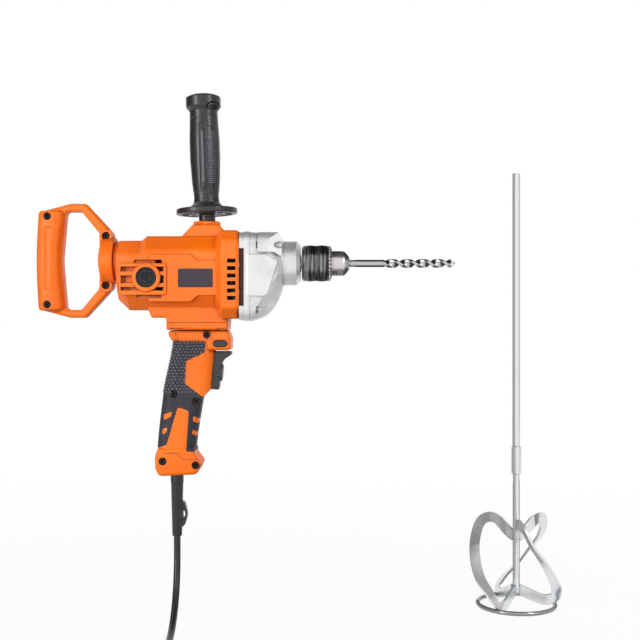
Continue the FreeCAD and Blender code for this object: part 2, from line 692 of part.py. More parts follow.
def make_motor():
    """Stator, armature, fan, bearings and brush gear."""
    core = tube_x(stator_rear_x, stator_front_x, stator_bore, stator_radius, 0, motor_z)
    coils = []
    for middle in (0, 180):
        coil = sector(stator_bore + 0.6, 27.6, middle, 66, stator_rear_x - 8, stator_front_x + 8)
        coil = coil.cut(sector(stator_bore - 2, 30, middle, 40, stator_rear_x - 2, stator_front_x + 2))
        coils.append(coil)
        for half in (53, -53):
            slot = sector(stator_bore - 1, 28.2, middle + half, 14.5, stator_rear_x - 1, stator_front_x + 1)
            core = core.cut(slot)
    save("stator_core", core)
    save("field_coils", *coils)
    radius = stator_bore - armature_gap
    body = tube_x(stator_rear_x, stator_front_x, 7.0, radius, 0, motor_z)
    slots = []
    for k in range(12):
        angle = 2 * math.pi * k / 12
        slot = box(stator_rear_x - 1, stator_front_x + 1, -1.3, 1.3, radius - 5.5, radius + 2)
        slot.rotate(vec(), vec(1), math.degrees(angle))
        slot.translate(vec(0, 0, motor_z))
        slots.append(slot)
    save("armature_core", body.cut(Part.makeCompound(slots)))
    rear = turned_x([(stator_rear_x - 7, 8.0), (stator_rear_x - 0.2, 8.0), (stator_rear_x - 0.2, 18.4),
                     (stator_rear_x - 3, 17.6), (stator_rear_x - 7, 13.5)], 0, motor_z)
    front = turned_x([(stator_front_x + 0.2, 8.0), (stator_front_x + 8, 8.0), (stator_front_x + 8, 14.0),
                      (stator_front_x + 4, 17.6), (stator_front_x + 0.2, 18.4)], 0, motor_z)
    save("armature_winding", rear, front)
    start = brush_x - commutator_length / 2.0
    ring = tube_x(start, start + commutator_length, 7.0, commutator_radius, 0, motor_z)
    cuts = []
    for k in range(24):
        cut = box(start - 1, start + commutator_length - 2, -0.3, 0.3, commutator_radius - 1,
                  commutator_radius + 1)
        cut.rotate(vec(), vec(1), 15.0 * k)
        cut.translate(vec(0, 0, motor_z))
        cuts.append(cut)
    save("commutator", ring.cut(Part.makeCompound(cuts)))
    rear_end = barrel_rear_x + 4.2
    tip_x = wheel_x + wheel_width + 0.8
    shaft = turned_x([(rear_end, 0), (wheel_x - 1.4, 0), (wheel_x - 1.4, shaft_radius),
                      (flange_front_x - 8, shaft_radius), (flange_front_x - 8, 7.0), (rear_end + 8.4, 7.0),
                      (rear_end + 8.4, 4.0), (rear_end, 4.0)], 0, motor_z)
    teeth = gear(pinion_teeth, wheel_module, pinion_shift, -1, 0.0, wheel_x - 2.2, tip_x, motor_z, 0)
    save("armature_shaft", joined(shaft, teeth))
    save("rear_bearing", tube_x(rear_end + 0.4, rear_end + 7.4, 4.0 + running, 11.0, 0, motor_z))
    save("front_bearing",
         tube_x(flange_front_x - 6.9, flange_front_x, shaft_radius + running, 10.0, 0, motor_z))
    back = flange_rear_x + 4.6
    disc = tube_x(flange_front_x - 9.6, flange_front_x - 8.2, 7.0, fan_radius, 0, motor_z)
    hub = tube_x(back, flange_front_x - 8.2, 7.0, 11.0, 0, motor_z)
    blades = []
    for k in range(fan_blades):
        blade = box(back, flange_front_x - 9.2, -0.8, 0.8, 16.0, fan_radius - 0.5)
        blade.rotate(vec(), vec(1), 360.0 * k / fan_blades)
        blade.translate(vec(0, 0, motor_z))
        blades.append(blade)
    save("fan", joined(disc, hub, *blades))
    holders = []
    brushes = []
    springs = []
    caps = []
    inner = commutator_radius + 1.6
    outer = brush_boss_out - 9.0
    for side in (-1, 1):
        far = side * outer
        near = side * inner
        y0, y1 = min(near, far), max(near, far)
        holder = box(brush_x - 4.5, brush_x + 4.5, y0, y1, motor_z - 6, motor_z + 6)
        inside = box(brush_x - 3.2, brush_x + 3.2, y0 - 1, y1 + 1, motor_z - 4.7, motor_z + 4.7)
        holders.append(holder.cut(inside))
        b0, b1 = sorted((side * (commutator_radius + running), side * (commutator_radius + 11)))
        brushes.append(box(brush_x - 3.0, brush_x + 3.0, b0, b1, motor_z - 4.5, motor_z + 4.5))
        coil = rod(vec(brush_x, side * (commutator_radius + 11.1), motor_z), vec(0, side, 0), 2.4,
                   outer - commutator_radius - 11.4)
        springs.append(coil.cut(rod(vec(brush_x, 0, motor_z), vec(0, side, 0), 1.6, 60)))
        seat = vec(brush_x, side * (brush_boss_out - 3.4), motor_z)
        cap = rod(seat, vec(0, side, 0), brush_cap_radius, 3.0)
        stem = rod(vec(brush_x, side * (outer + 0.2), motor_z), vec(0, side, 0), 8.4, 6.0)
        s0, s1 = sorted((side * (brush_boss_out - 2.4), side * (brush_boss_out + 1)))
        step = vec(brush_x, side * (brush_boss_out - 1.3), motor_z)
        ring = rod(step, vec(0, side, 0), 9.4, 3).cut(rod(step, vec(0, side, 0), 7.6, 3))
        dish = rod(step, vec(0, side, 0), 4.6, 3)
        cap = softened(joined(cap, stem), 0.8, lambda e: at_y(brush_boss_out - 0.4)(e) and e.Length > 60)
        slot = box(brush_x - 3.4, brush_x + 3.4, s0, s1, motor_z - 0.8, motor_z + 0.8)
        caps.append(cap.cut(ring).cut(dish).cut(slot))
    save("brush_holders", *holders)
    save("carbon_brushes", *brushes)
    save("brush_springs", *springs)
    save("brush_caps", *caps)


def sector(inner, outer, middle, half, x0, x1):
    """Part of a ring about the motor axis, between two angles in degrees from the Y axis."""
    ring = Part.makeCylinder(outer, x1 - x0, vec(x0, 0, motor_z), vec(1), 2 * half)
    ring = ring.cut(rod(vec(x0 - 1, 0, motor_z), vec(1), inner, x1 - x0 + 2))
    box_y = ring.Solids[0].CenterOfMass
    turn = math.degrees(math.atan2(box_y.z - motor_z, box_y.y))
    ring.rotate(vec(0, 0, motor_z), vec(1), middle - turn)
    return ring


def barrel_form(inset, x0):
    """Barrel of the motor housing from a rear station to the flange, smaller all round by an inset."""
    cut = barrel_cut - inset * 0.6
    rows = [(x0, barrel_half_width - 2, motor_z - 25.5, barrel_rear_top),
            (x0 + 12.5, barrel_half_width, -barrel_bottom, barrel_rear_top),
            (brush_x - 8.5, barrel_half_width, -barrel_bottom, barrel_rear_top),
            (brush_x - 2.5, barrel_half_width, -barrel_bottom, barrel_top),
            (flange_rear_x + 1, barrel_half_width, -barrel_bottom, barrel_top)]
    return Part.makeLoft([octagon(x, h - inset, low + inset, high - inset, cut, 7.0 - inset)
                          for x, h, low, high in rows], True, True)


def make_housing():
    """Motor housing: barrel, flange, neck, brush bosses, handle socket and the pad above the grip."""
    barrel = barrel_form(0, barrel_rear_x)
    rows = [(flange_rear_x - 4, barrel_half_width - 1, 1 - barrel_bottom, barrel_top - 1, 15.0),
            (flange_rear_x + 4.5, flange_half_width, -flange_bottom, flange_top, 12.0),
            (flange_front_x - 3.5, flange_half_width, -flange_bottom, flange_top, 12.0),
            (flange_front_x, flange_half_width - 2.2, 2.2 - flange_bottom, flange_top - 2.2, 11.0)]
    flange = Part.makeLoft([octagon(x, h, low, high, cut, 6.0) for x, h, low, high, cut in rows], True, True)
    collar = ring_front_x - 5.0
    end = ring_rear_x + 4.0
    neck = turned_x([(end, 0), (barrel_rear_x + 8, 0), (barrel_rear_x + 8, neck_radius),
                     (ring_front_x + gap, neck_radius), (ring_front_x + gap, neck_radius - 4.5),
                     (collar, neck_radius - 4.5), (collar, neck_radius), (end, neck_radius)], 0, neck_up)
    step_z = 14.0 - pad_bottom
    pad = slab([(pad_rear_x - 23.6, -48), (pad_rear_x - 17.6, step_z), (pad_rear_x - 0.6, step_z),
                (pad_rear_x, -pad_bottom), (pad_front_x, -pad_bottom), (pad_front_x + 1.2, -48)],
               [2, 3, 1.5, 1.2, 1.2, 2], -pad_half_width, pad_half_width)
    pad = softened(pad, 3.0, at_y(pad_half_width))
    skirt = slab([(handle_x - 32, skirt_foot_z), (handle_x - 15, socket_top - 4.2),
                  (handle_x + 14.6, socket_top - 4.2), (handle_x + 21, socket_top - 11),
                  (handle_x + 21.5, skirt_foot_z)],
                 [0, 4, 4, 3, 0], -skirt_half_width, skirt_half_width)
    skirt = softened(skirt, 2.8, lambda e: at_y(skirt_half_width)(e) and e.CenterOfMass.z > skirt_foot_z + 6)
    hexagon = [vec(handle_x + socket_width / math.sqrt(3) * math.sin(k * math.pi / 3),
                   socket_width / math.sqrt(3) * math.cos(k * math.pi / 3), barrel_top) for k in range(6)]
    socket = Part.Face(rounded_wire(hexagon, 2.0)).extrude(vec(0, 0, socket_top - barrel_top))
    socket = softened(socket, 1.4, at_z(socket_top))
    body = joined(barrel, flange, neck, pad, skirt, socket)
    wide = barrel_half_width + side_panel_raise
    high = 8.6
    low = 2 * motor_z - high - 1
    panel = slab([(brush_x + 2, high), (flange_rear_x - 31, high), (flange_rear_x - 23, high - 7),
                  (flange_rear_x + 3, high - 7), (flange_rear_x + 3, low + 7), (flange_rear_x - 23, low + 7),
                  (flange_rear_x - 31, low), (brush_x + 2, low)], 2.0, -wide, wide)
    panel = softened(panel, 1.2, at_y(wide))
    body = joined(body, panel)
    for side in (-1, 1):
        out = side * (barrel_half_width + louvre_raise)
        y0, y1 = sorted((side * 30, out))
        block = slab([(brush_x - 31.5, motor_z + 16.2), (brush_x + 23, motor_z + 16.2),
                      (brush_x + 23, motor_z - 20.2), (brush_x - 31.5, motor_z - 20.2)], 4.0, y0, y1)
        block = softened(block, 1.2, lambda e, o=out: all(abs(v.Point.y - o) < 1e-4 for v in e.Vertexes))
        body = joined(body, block)
    hollow = barrel_form(barrel_wall, barrel_rear_x + 6).cut(box(-400, barrel_rear_x + 6, -90, 90, -90, 90))
    body = body.cut(hollow)
    body = body.cut(rod(vec(flange_rear_x + 3, 0, motor_z), vec(1), fan_radius + 3.4, flange_length))
    body = body.cut(rod(vec(flange_rear_x - 6, 0, motor_z), vec(1), fan_radius - 10, 12))
    seats = []
    for x in (stator_rear_x, stator_front_x - 8):
        seats.append(barrel_form(0.5, barrel_rear_x).common(box(x, x + 8, -60, 60, -80, 60)))
    body = joined(body, *seats)
    body = body.cut(rod(vec(stator_rear_x - 1, 0, motor_z), vec(1), stator_radius + 0.1, stator_length + 2))
    for side in (-1, 1):
        boss = rod(vec(brush_x, side * 28, motor_z), vec(0, side, 0), brush_boss_radius, brush_boss_out - 28)
        boss = softened(boss, 1.2, lambda e: abs(abs(e.CenterOfMass.y) - brush_boss_out) < 1e-3)
        y0, y1 = sorted((side * (barrel_half_width - barrel_wall - 1.5), side * 60))
        for top, base, start, stop in brush_slots:
            slot = box(brush_x + start, brush_x + stop, y0, y1, motor_z + base, motor_z + top)
            body = body.cut(slot)
        body = joined(body, boss)
        body = body.cut(rod(vec(brush_x, 0, motor_z), vec(0, side, 0), 8.5, 60))
        seat = vec(brush_x, side * (brush_boss_out - 3.5), motor_z)
        body = body.cut(rod(seat, vec(0, side, 0), brush_cap_radius + 0.2, 9))
        for k in range(vent_count):
            z = motor_z - 2.4 + (k - (vent_count - 1) / 2.0) * vent_pitch
            y0, y1 = sorted((side * 30, side * 60))
            start = flange_front_x - 3.6 - vent_length
            body = body.cut(box(start, start + vent_length, y0, y1, z - vent_height / 2, z + vent_height / 2))
    web = rod(vec(barrel_rear_x + 5, 0, motor_z), vec(1), 14.5, 8.0)
    body = joined(body, web)
    body = body.cut(rod(vec(barrel_rear_x + 4.0, 0, motor_z), vec(1), 11.0, 12.0))
    place = (flange_rear_x - 25.6, motor_z - 0.6)
    recess = slab(rect(place, plate_length + 0.4, plate_height + 0.4), 1.6, -wide - 1, 0.5 - wide)
    body = body.cut(recess)
    face = 0.48 - wide
    save("nameplate", slab(rect(place, plate_length, plate_height), 1.4, face - plate_thickness, face))
    body = body.cut(box(-122, -86, -11, 11, -90, motor_z - 20))
    for y, z in case_screw_places():
        body = body.cut(rod(vec(flange_front_x - 14, y, z), vec(1), case_screw_radius + 0.1, 30))
    body = body.cut(handle_axis(rod(vec(0, 0, -26), vec(0, 0, 1), stud_radius + 0.1, 60)))
    groove = box(pad_rear_x + 0.4, pad_front_x + 1.2, -60, 60, pad_line_z - 0.4, pad_line_z + 0.4)
    groove = groove.cut(box(-200, 0, 0.7 - pad_half_width, pad_half_width - 0.7, -90, 0))
    body = body.cut(groove)
    for x0, x1 in pad_notches:
        notch = box(x0, x1, -pad_half_width - 1, pad_half_width + 1, -pad_bottom - 1,
                    pad_notch_height - pad_bottom)
        body = body.cut(notch.cut(box(-200, 0, 3 - pad_half_width, pad_half_width - 3, -90, 0)))
    save("motor_housing", body)


def rect(centre, length, height):
    """Corners of a rectangle in the XZ plane."""
    x, z = centre
    return [(x - length / 2, z - height / 2), (x + length / 2, z - height / 2),
            (x + length / 2, z + height / 2), (x - length / 2, z + height / 2)]


def handle_axis(shape):
    """Put a piece that stands on the origin onto the side handle's socket."""
    shape.rotate(vec(), vec(0, 1, 0), -handle_lean)
    shape.translate(vec(handle_x, 0, socket_top))
    return shape


def handle_rows(inset):
    """Profile of the part of the side handle that the hand holds, smaller by an inset."""
    rows = [(15.2, 22.0), (14.3, 29.0), (16.2, 45.6), (handle_grip_radius, 72.0), (handle_grip_radius, 96.0),
            (16.3, 124.0), (16.4, 129.0)]
    return [(r - inset, z) for r, z in rows]


def handle_core(inset):
    """Round core of the side handle below its surface by an inset."""
    rows = handle_rows(inset)
    return turned_z([(0, rows[0][1])] + rows + [(0, rows[-1][1])], [0, 0, 20, 60, 80, 80, 20, 0, 0])


def handle_marks():
    """Shallow marks on one face of the side handle: a channel, a panel, two lines and two round ends."""
    deep = handle_core(panel_sunk)
    shallow = handle_core(mark_depth)
    front = -2 * handle_grip_radius
    middle = (panel_low + panel_high) / 2
    panel = slab(rect((0, middle), 2 * panel_half, panel_high - panel_low), 4.4, front, -6).cut(deep)
    panel.rotate(vec(), vec(0, 0, 1), panel_turn)
    channel = slab(rect((-0.75, middle), 8.3, panel_high - panel_low + 10), 3.4, front, -6).cut(deep)
    marks = [panel, channel]
    for z in (mark_low, mark_high):
        marks.append(box(2 * front, -5.6, front, 0, z - 0.5, z + 0.5).cut(shallow))
    for z, radius in ((mark_low - 10.4, 8.0), (mark_high + 8.3, 9.0)):
        round_end = rod(vec(13.6, front, z), vec(0, 1, 0), radius, -front - 5)
        marks.append(round_end.cut(shallow).cut(rod(vec(13.6, front, z), vec(0, 1, 0), radius - 1.6, -front)))
    return marks


def make_side_handle():
    """Side handle with its flange, end cap and stud."""
    start = 0.4
    low = 8.8
    edge = handle_flange_radius
    profile = [(0, start), (handle_stub_radius, start), (handle_stub_radius, low), (edge, low),
               (edge, low + 6.5), (20.5, low + 7.6)] + handle_rows(0)
    profile += [(handle_cap_radius, 134.0), (handle_cap_radius, handle_length - 2.6),
                (handle_cap_radius - 6, handle_length), (0, handle_length)]
    radii = [0, 0.8, 2, 1.6, 1.6, 3, 4, 20, 60, 80, 80, 20, 2, 1.5, 2, 6, 0]
    grip = turned_z(profile, radii)
    for low_r, high_r in ((13.0, 19.0), (21.5, 30.0)):
        ring = turned_z([(low_r, low - 1), (high_r, low - 1), (high_r, low + 4.5), (low_r, low + 4.5)])
        ribs = [box(low_r - 2, high_r + 2, -1.2, 1.2, low - 2, low + 6) for k in range(12)]
        for k, rib in enumerate(ribs):
            rib.rotate(vec(), vec(0, 0, 1), 30.0 * k)
        grip = grip.cut(ring.cut(Part.makeCompound(ribs)))
    face = -handle_grip_radius - 0.3
    for turn in (0, 180):
        for mark in handle_marks():
            mark.rotate(vec(), vec(0, 0, 1), turn)
            grip = grip.cut(mark)
        rib_top = panel_high - 3
        rib = slab([(-rib_low, panel_low), (rib_low, panel_low), (rib_high, rib_top), (-rib_high, rib_top)],
                   1.0, face, face + 8)
        rib = softened(rib, 0.5, lambda e: abs(e.CenterOfMass.y - face) < 1e-3)
        rib.rotate(vec(), vec(0, 0, 1), turn - 3)
        grip = joined(grip, rib)
    grip = grip.cut(rod(vec(0, 0, -1), vec(0, 0, 1), stud_radius + 0.1, 33))
    save("side_handle_grip", handle_axis(grip))
    save("side_handle_stud", handle_axis(rod(vec(0, 0, -25), vec(0, 0, 1), stud_radius, 56)))


def rear_outline():
    """Outer outline of the rear handle, above the axis."""
    return [(ring_front_x - 6, rear_boss_offset + 7), (rear_top_front, rear_half_height),
            (rear_top_rear, rear_half_height), (handle_rear_x + 4.2, rear_half_height - 9.5)]


def make_rear_handle():
    """Two halves of the rear handle and their screws."""
    up = rear_outline()
    outer = up + [(handle_rear_x - 0.4, 0)] + [(x, -z) for x, z in reversed(up)]
    hole_top = rear_half_height - arm_width
    inner_up = [(ring_rear_x - 3.4, rear_boss_offset + 3.2), (rear_top_front - 4.9, hole_top),
                (handle_rear_x + bar_width + 5, hole_top)]
    inner = inner_up + [(handle_rear_x + bar_width, 0)] + [(x, -z) for x, z in reversed(inner_up)]
    radii = [4, 5, 10, 9, 150, 9, 10, 5, 4]
    lifted = [(x, z + neck_up) for x, z in outer]
    hole = [(x, z + neck_up) for x, z in inner]
    hole_radii = [6, 4, 5, 90, 5, 4, 6]
    arms = slab(lifted, radii, -arm_thickness / 2, arm_thickness / 2)
    arms = softened(arms, 3.6, at_y(arm_thickness / 2))
    cutter = slab(hole, hole_radii, -60, 60)
    end = bar_half_height
    rows = [(end, 2.6, 5.0), (end / 2, 0.7, 2.0), (0.0, 0.0, 0.0), (-end / 2, 0.7, 2.0), (-end, 2.6, 5.0)]
    bar_part = Part.makeLoft([grip_section(neck_up + z, handle_rear_x + a, handle_rear_x + bar_width + b,
                                           rear_thickness / 2, bar_round) for z, a, b in rows], True, False)
    bar_part = softened(bar_part, 4.0, at_z(neck_up + end, neck_up - end))
    arms = arms.cut(cutter)
    arms = softened(arms, 3.0, lambda e: at_y(arm_thickness / 2)(e) and e.CenterOfMass.x < ring_rear_x)
    ring = tube_x(ring_rear_x, ring_front_x, 1.0, ring_radius, 0, neck_up)
    ring = softened(ring, 1.5, lambda e: at_x(ring_rear_x, ring_front_x)(e) and e.Length > 100)
    rim = ring_radius - 1.6
    ball = (rim ** 2 + ring_dome ** 2) / (2 * ring_dome)
    dome = Part.makeSphere(ball, vec(ring_rear_x - ring_dome + ball, 0, neck_up))
    dome = dome.common(rod(vec(ring_rear_x - 10, 0, neck_up), vec(1), rim, 12))
    bosses = []
    boss_face = arm_thickness / 2 + rear_boss_raise
    for sign in (-1, 1):
        place = vec(ring_front_x - rear_boss_back, -boss_face, neck_up + sign * rear_boss_offset)
        boss = rod(place, vec(0, 1, 0), rear_boss_radius, 2 * boss_face)
        bosses.append(softened(boss, 0.8, at_y(boss_face)))
    whole = joined(arms, bar_part, ring, dome, *bosses)
    collar = ring_front_x - 5.0
    end = ring_rear_x + 4.0
    bore = turned_x([(end - gap, 0), (ring_front_x + 2, 0), (ring_front_x + 2, neck_radius - 4.5 + gap),
                     (collar + gap, neck_radius - 4.5 + gap), (collar + gap, neck_radius + gap),
                     (end - gap, neck_radius + gap)], 0, neck_up)
    whole = whole.cut(bore)
    places = [(ring_front_x - rear_boss_back, sign * rear_boss_offset, boss_face) for sign in (-1, 1)]
    places += [(handle_rear_x + 15.0, sign * 51.0, rear_thickness / 2) for sign in (-1, 1)]
    screws = []
    for x, z, face in places:
        head = 3.6
        point = vec(x, head - face + 0.4, z + neck_up)
        whole = whole.cut(rod(vec(x, -face - 1, z + neck_up), vec(0, 1, 0), screw_recess_radius, head + 1.4))
        whole = whole.cut(rod(vec(x, -face, z + neck_up), vec(0, 1, 0), screw_radius + 0.1, face + 8.2))
        screws.append(screw(point, vec(0, 1, 0), screw_radius, face + 3, screw_recess_radius - 0.5,
                            screw_head_depth))
    inside = rear_thickness / 2 - 3.2
    pocket = slab([(handle_rear_x + 7.5, -38), (handle_rear_x + bar_width - 6, -38),
                   (handle_rear_x + bar_width - 6, 44), (handle_rear_x + 7.5, 44)], 4, -inside, inside)
    whole = whole.cut(pocket)
    for side in (-1, 1):
        deep = rear_thickness / 2 + channel_radius - channel_depth
        groove = rod(vec(handle_rear_x + 14.9, side * deep, neck_up - 33.8), vec(0, 0, 1), channel_radius, 73)
        whole = whole.cut(groove)
    big = box(-400, 0, 0, 90, -200, 200)
    save("rear_handle_left", whole.cut(big))
    save("rear_handle_right", whole.common(big))
    save("rear_handle_screws", *screws)


def grip_section(z, rear, front, half_width, radius):
    """Level section of the pistol grip."""
    corners = [(front, half_width), (front, -half_width), (rear, -half_width), (rear, half_width)]
    return rounded_wire([vec(x, y, z) for x, y in corners], radius)


def shrunk(outline, radii, inset):
    """Face of a rounded outline in the XZ plane, smaller all round by an inset."""
    wire = rounded_wire([vec(x, 0, z) for x, z in outline], radii)
    if inset > 0:
        wire = wire.makeOffset2D(-inset)
    return Part.Face(wire)


def grip_form(inset):
    """Outer form of the pistol grip, smaller all round by an inset."""
    upper = Part.makeLoft([grip_section(z, r + inset, f - inset, grip_half_width - inset, grip_round - inset)
                           for z, r, f in grip_upper_rows], True, False)
    wedge = slab(grip_wedge, 0, -60, 60)
    wedge.translate(vec(-inset * 0.7, 0, inset * 0.7))
    upper = upper.cut(wedge)
    lower = Part.makeLoft([grip_section(z, r + inset, f - inset, grip_half_width - inset, grip_round - inset)
                           for z, r, f in grip_lower_rows], True, False)
    block = shrunk(block_outline, block_radii, inset)
    half = grip_top_half - inset
    block.translate(vec(0, -half, 0))
    block = softened(block.extrude(vec(0, 2 * half, 0)), 3.8 - inset, at_y(half))
    foot = shrunk(foot_outline, foot_radii, inset)
    half = foot_half_width - inset
    foot.translate(vec(0, -half, 0))
    foot = softened(foot.extrude(vec(0, 2 * half, 0)), 3.8 - inset, at_y(half))
    return joined(upper, lower, block, foot)


def overmould_region():
    """Prism across Y over the soft parts of the grip."""
    region = slab(cover_outline, cover_radii, -60, 60)
    for corners in cover_windows:
        region = region.cut(slab(corners, 1.0, -61, 61))
    return region


def trigger_outline(grow):
    """Side outline of the trigger."""
    g = grow
    return [(-92.6 - g, -102.4 + g), (-70.2 + g, -102.4 + g), (-70.0 + g, -106.0 - g),
            (-79.4 + g, -112.4 - g * 0.3), (-81.6 + g, -118.0), (-84.6 + g, -147.4 - g),
            (-95.6 - g, -146.2 - g)]


def make_grip():
    """Both halves of the pistol grip, their soft covers, the switch and its controls."""
    form = grip_form(0)
    skin = form.cut(grip_form(overmould)).common(overmould_region())
    hollow = grip_form(grip_wall)
    for x, z, face in grip_screws:
        hollow = hollow.cut(rod(vec(x, -50, z), vec(0, 1, 0), 5.4, 100))
    back_x, back_z = trigger_pull
    pull = vec(back_x, 0, back_z) * (trigger_travel + 1.4)
    slot = slab(trigger_outline(0.7), 1.0, -trigger_half_width - 0.5, trigger_half_width + 0.5)
    moved = slot.copy()
    moved.translate(pull)
    moved_half = slot.copy()
    moved_half.translate(pull * 0.5)
    shells = form.cut(skin).cut(hollow).cut(slot).cut(moved).cut(moved_half)
    dial_y = dial_radius + 0.8
    shells = shells.cut(box(-100, -60, -dial_y, dial_y, *dial_room))
    skin = skin.cut(box(-100, -60, -dial_y, dial_y, *dial_room))
    shells = shells.cut(slab(rect(selector_place, selector_length + 2 * gap, selector_height + 2 * gap),
                             selector_height / 2 + gap - 0.02, -60, 60))
    hole = rod(vec(guard_x, 0, guard_z - 6), vec(0, 0, 1), guard_top_radius + 0.2, 14)
    shells = shells.cut(hole)
    shells = shells.cut(box(-122, -86, -11, 11, -85, -70))
    screws = []
    for x, z, face in grip_screws:
        depth = 3.4
        shells = shells.cut(rod(vec(x, -face - 1, z), vec(0, 1, 0), screw_recess_radius, depth + 1))
        shells = shells.cut(rod(vec(x, -face, z), vec(0, 1, 0), screw_radius + 0.1, face + 10))
        skin = skin.cut(rod(vec(x, -face - 5, z), vec(0, 1, 0), screw_recess_radius, depth + 12))
        screws.append(screw(vec(x, depth - face, z), vec(0, 1, 0), screw_radius, face + 5,
                            screw_recess_radius - 0.5, screw_head_depth))
    line = slab(foot_seam + [(x, z - 0.8) for x, z in reversed(foot_seam)], 0, -60, 60)
    shells = shells.cut(line.cut(box(-200, 0, 0.8 - foot_half_width, foot_half_width - 0.8, -300, 0)))
    dip = slab(block_dip, 1.0, -60, 60)
    shells = shells.cut(dip.cut(box(-200, 0, 1.1 - grip_top_half, grip_top_half - 1.1, -300, 0)))
    far = box(-400, 0, 0, 90, -400, 0)
    save("grip_left", shells.cut(far))
    save("grip_right", shells.common(far))
    save("overmould_left", skin.cut(far))
    save("overmould_right", skin.common(far))
    save("grip_screws", *screws)
    trigger = slab(trigger_outline(0), [1, 1.5, 1.5, 8, 6, 2, 1], -trigger_half_width, trigger_half_width)
    trigger = softened(trigger, 1.4, lambda e: at_y(trigger_half_width)(e) and e.CenterOfMass.x > -90)
    dial_at = vec(dial_place[0], 0, dial_place[1])
    along = vec(-back_x, 0, -back_z)
    seat = rod(dial_at - along * (dial_width / 2 + 0.4), along, dial_radius + 0.5, 30)
    trigger = trigger.cut(seat).cut(rod(dial_at - along * 9, along, 2.0 + running, 20))
    save("trigger", trigger)
    dial = rod(dial_at - along * (dial_width / 2), along, dial_radius, dial_width)
    dial = softened(dial, 1.8, lambda e: e.CenterOfMass.x > dial_at.x)
    notches = []
    reach = dial_radius + 0.5
    for k in range(dial_notches):
        angle = 2 * math.pi * k / dial_notches
        notch = rod(vec(-20, reach * math.cos(angle), reach * math.sin(angle)), vec(1), 0.9, 40)
        notch.rotate(vec(), vec(0, 1, 0), math.degrees(math.atan2(back_z, -back_x)))
        notch.translate(dial_at)
        notches.append(notch)
    dial = dial.cut(Part.makeCompound(notches))
    save("speed_dial", joined(dial, rod(dial_at - along * 7.5, along, 2.0, 8)))
    reach = grip_top_half + 2.6
    selector = slab(rect(selector_place, selector_length, selector_height), selector_height / 2 - 0.02,
                    -reach, reach)
    save("reverse_selector", softened(selector, 1.0, at_y(reach)))
    wide = grip_half_width - grip_wall - 0.2
    switch = box(-129.5, -104.6, -wide, wide, -141, -106)
    switch = softened(switch, 1.2, lambda e: True)
    save("switch_body", switch)


def key_loop(half_height, out):
    """Oval block of the loop that holds the chuck key, on the guard's axis."""
    return slab([(0.5, loop_z + half_height), (out - 3.6, loop_z + half_height * 0.86), (out, loop_z),
                 (out - 3.6, loop_z - half_height * 0.86), (0.5, loop_z - half_height)], [1, 5, 12, 5, 1],
                -loop_half_width, loop_half_width)


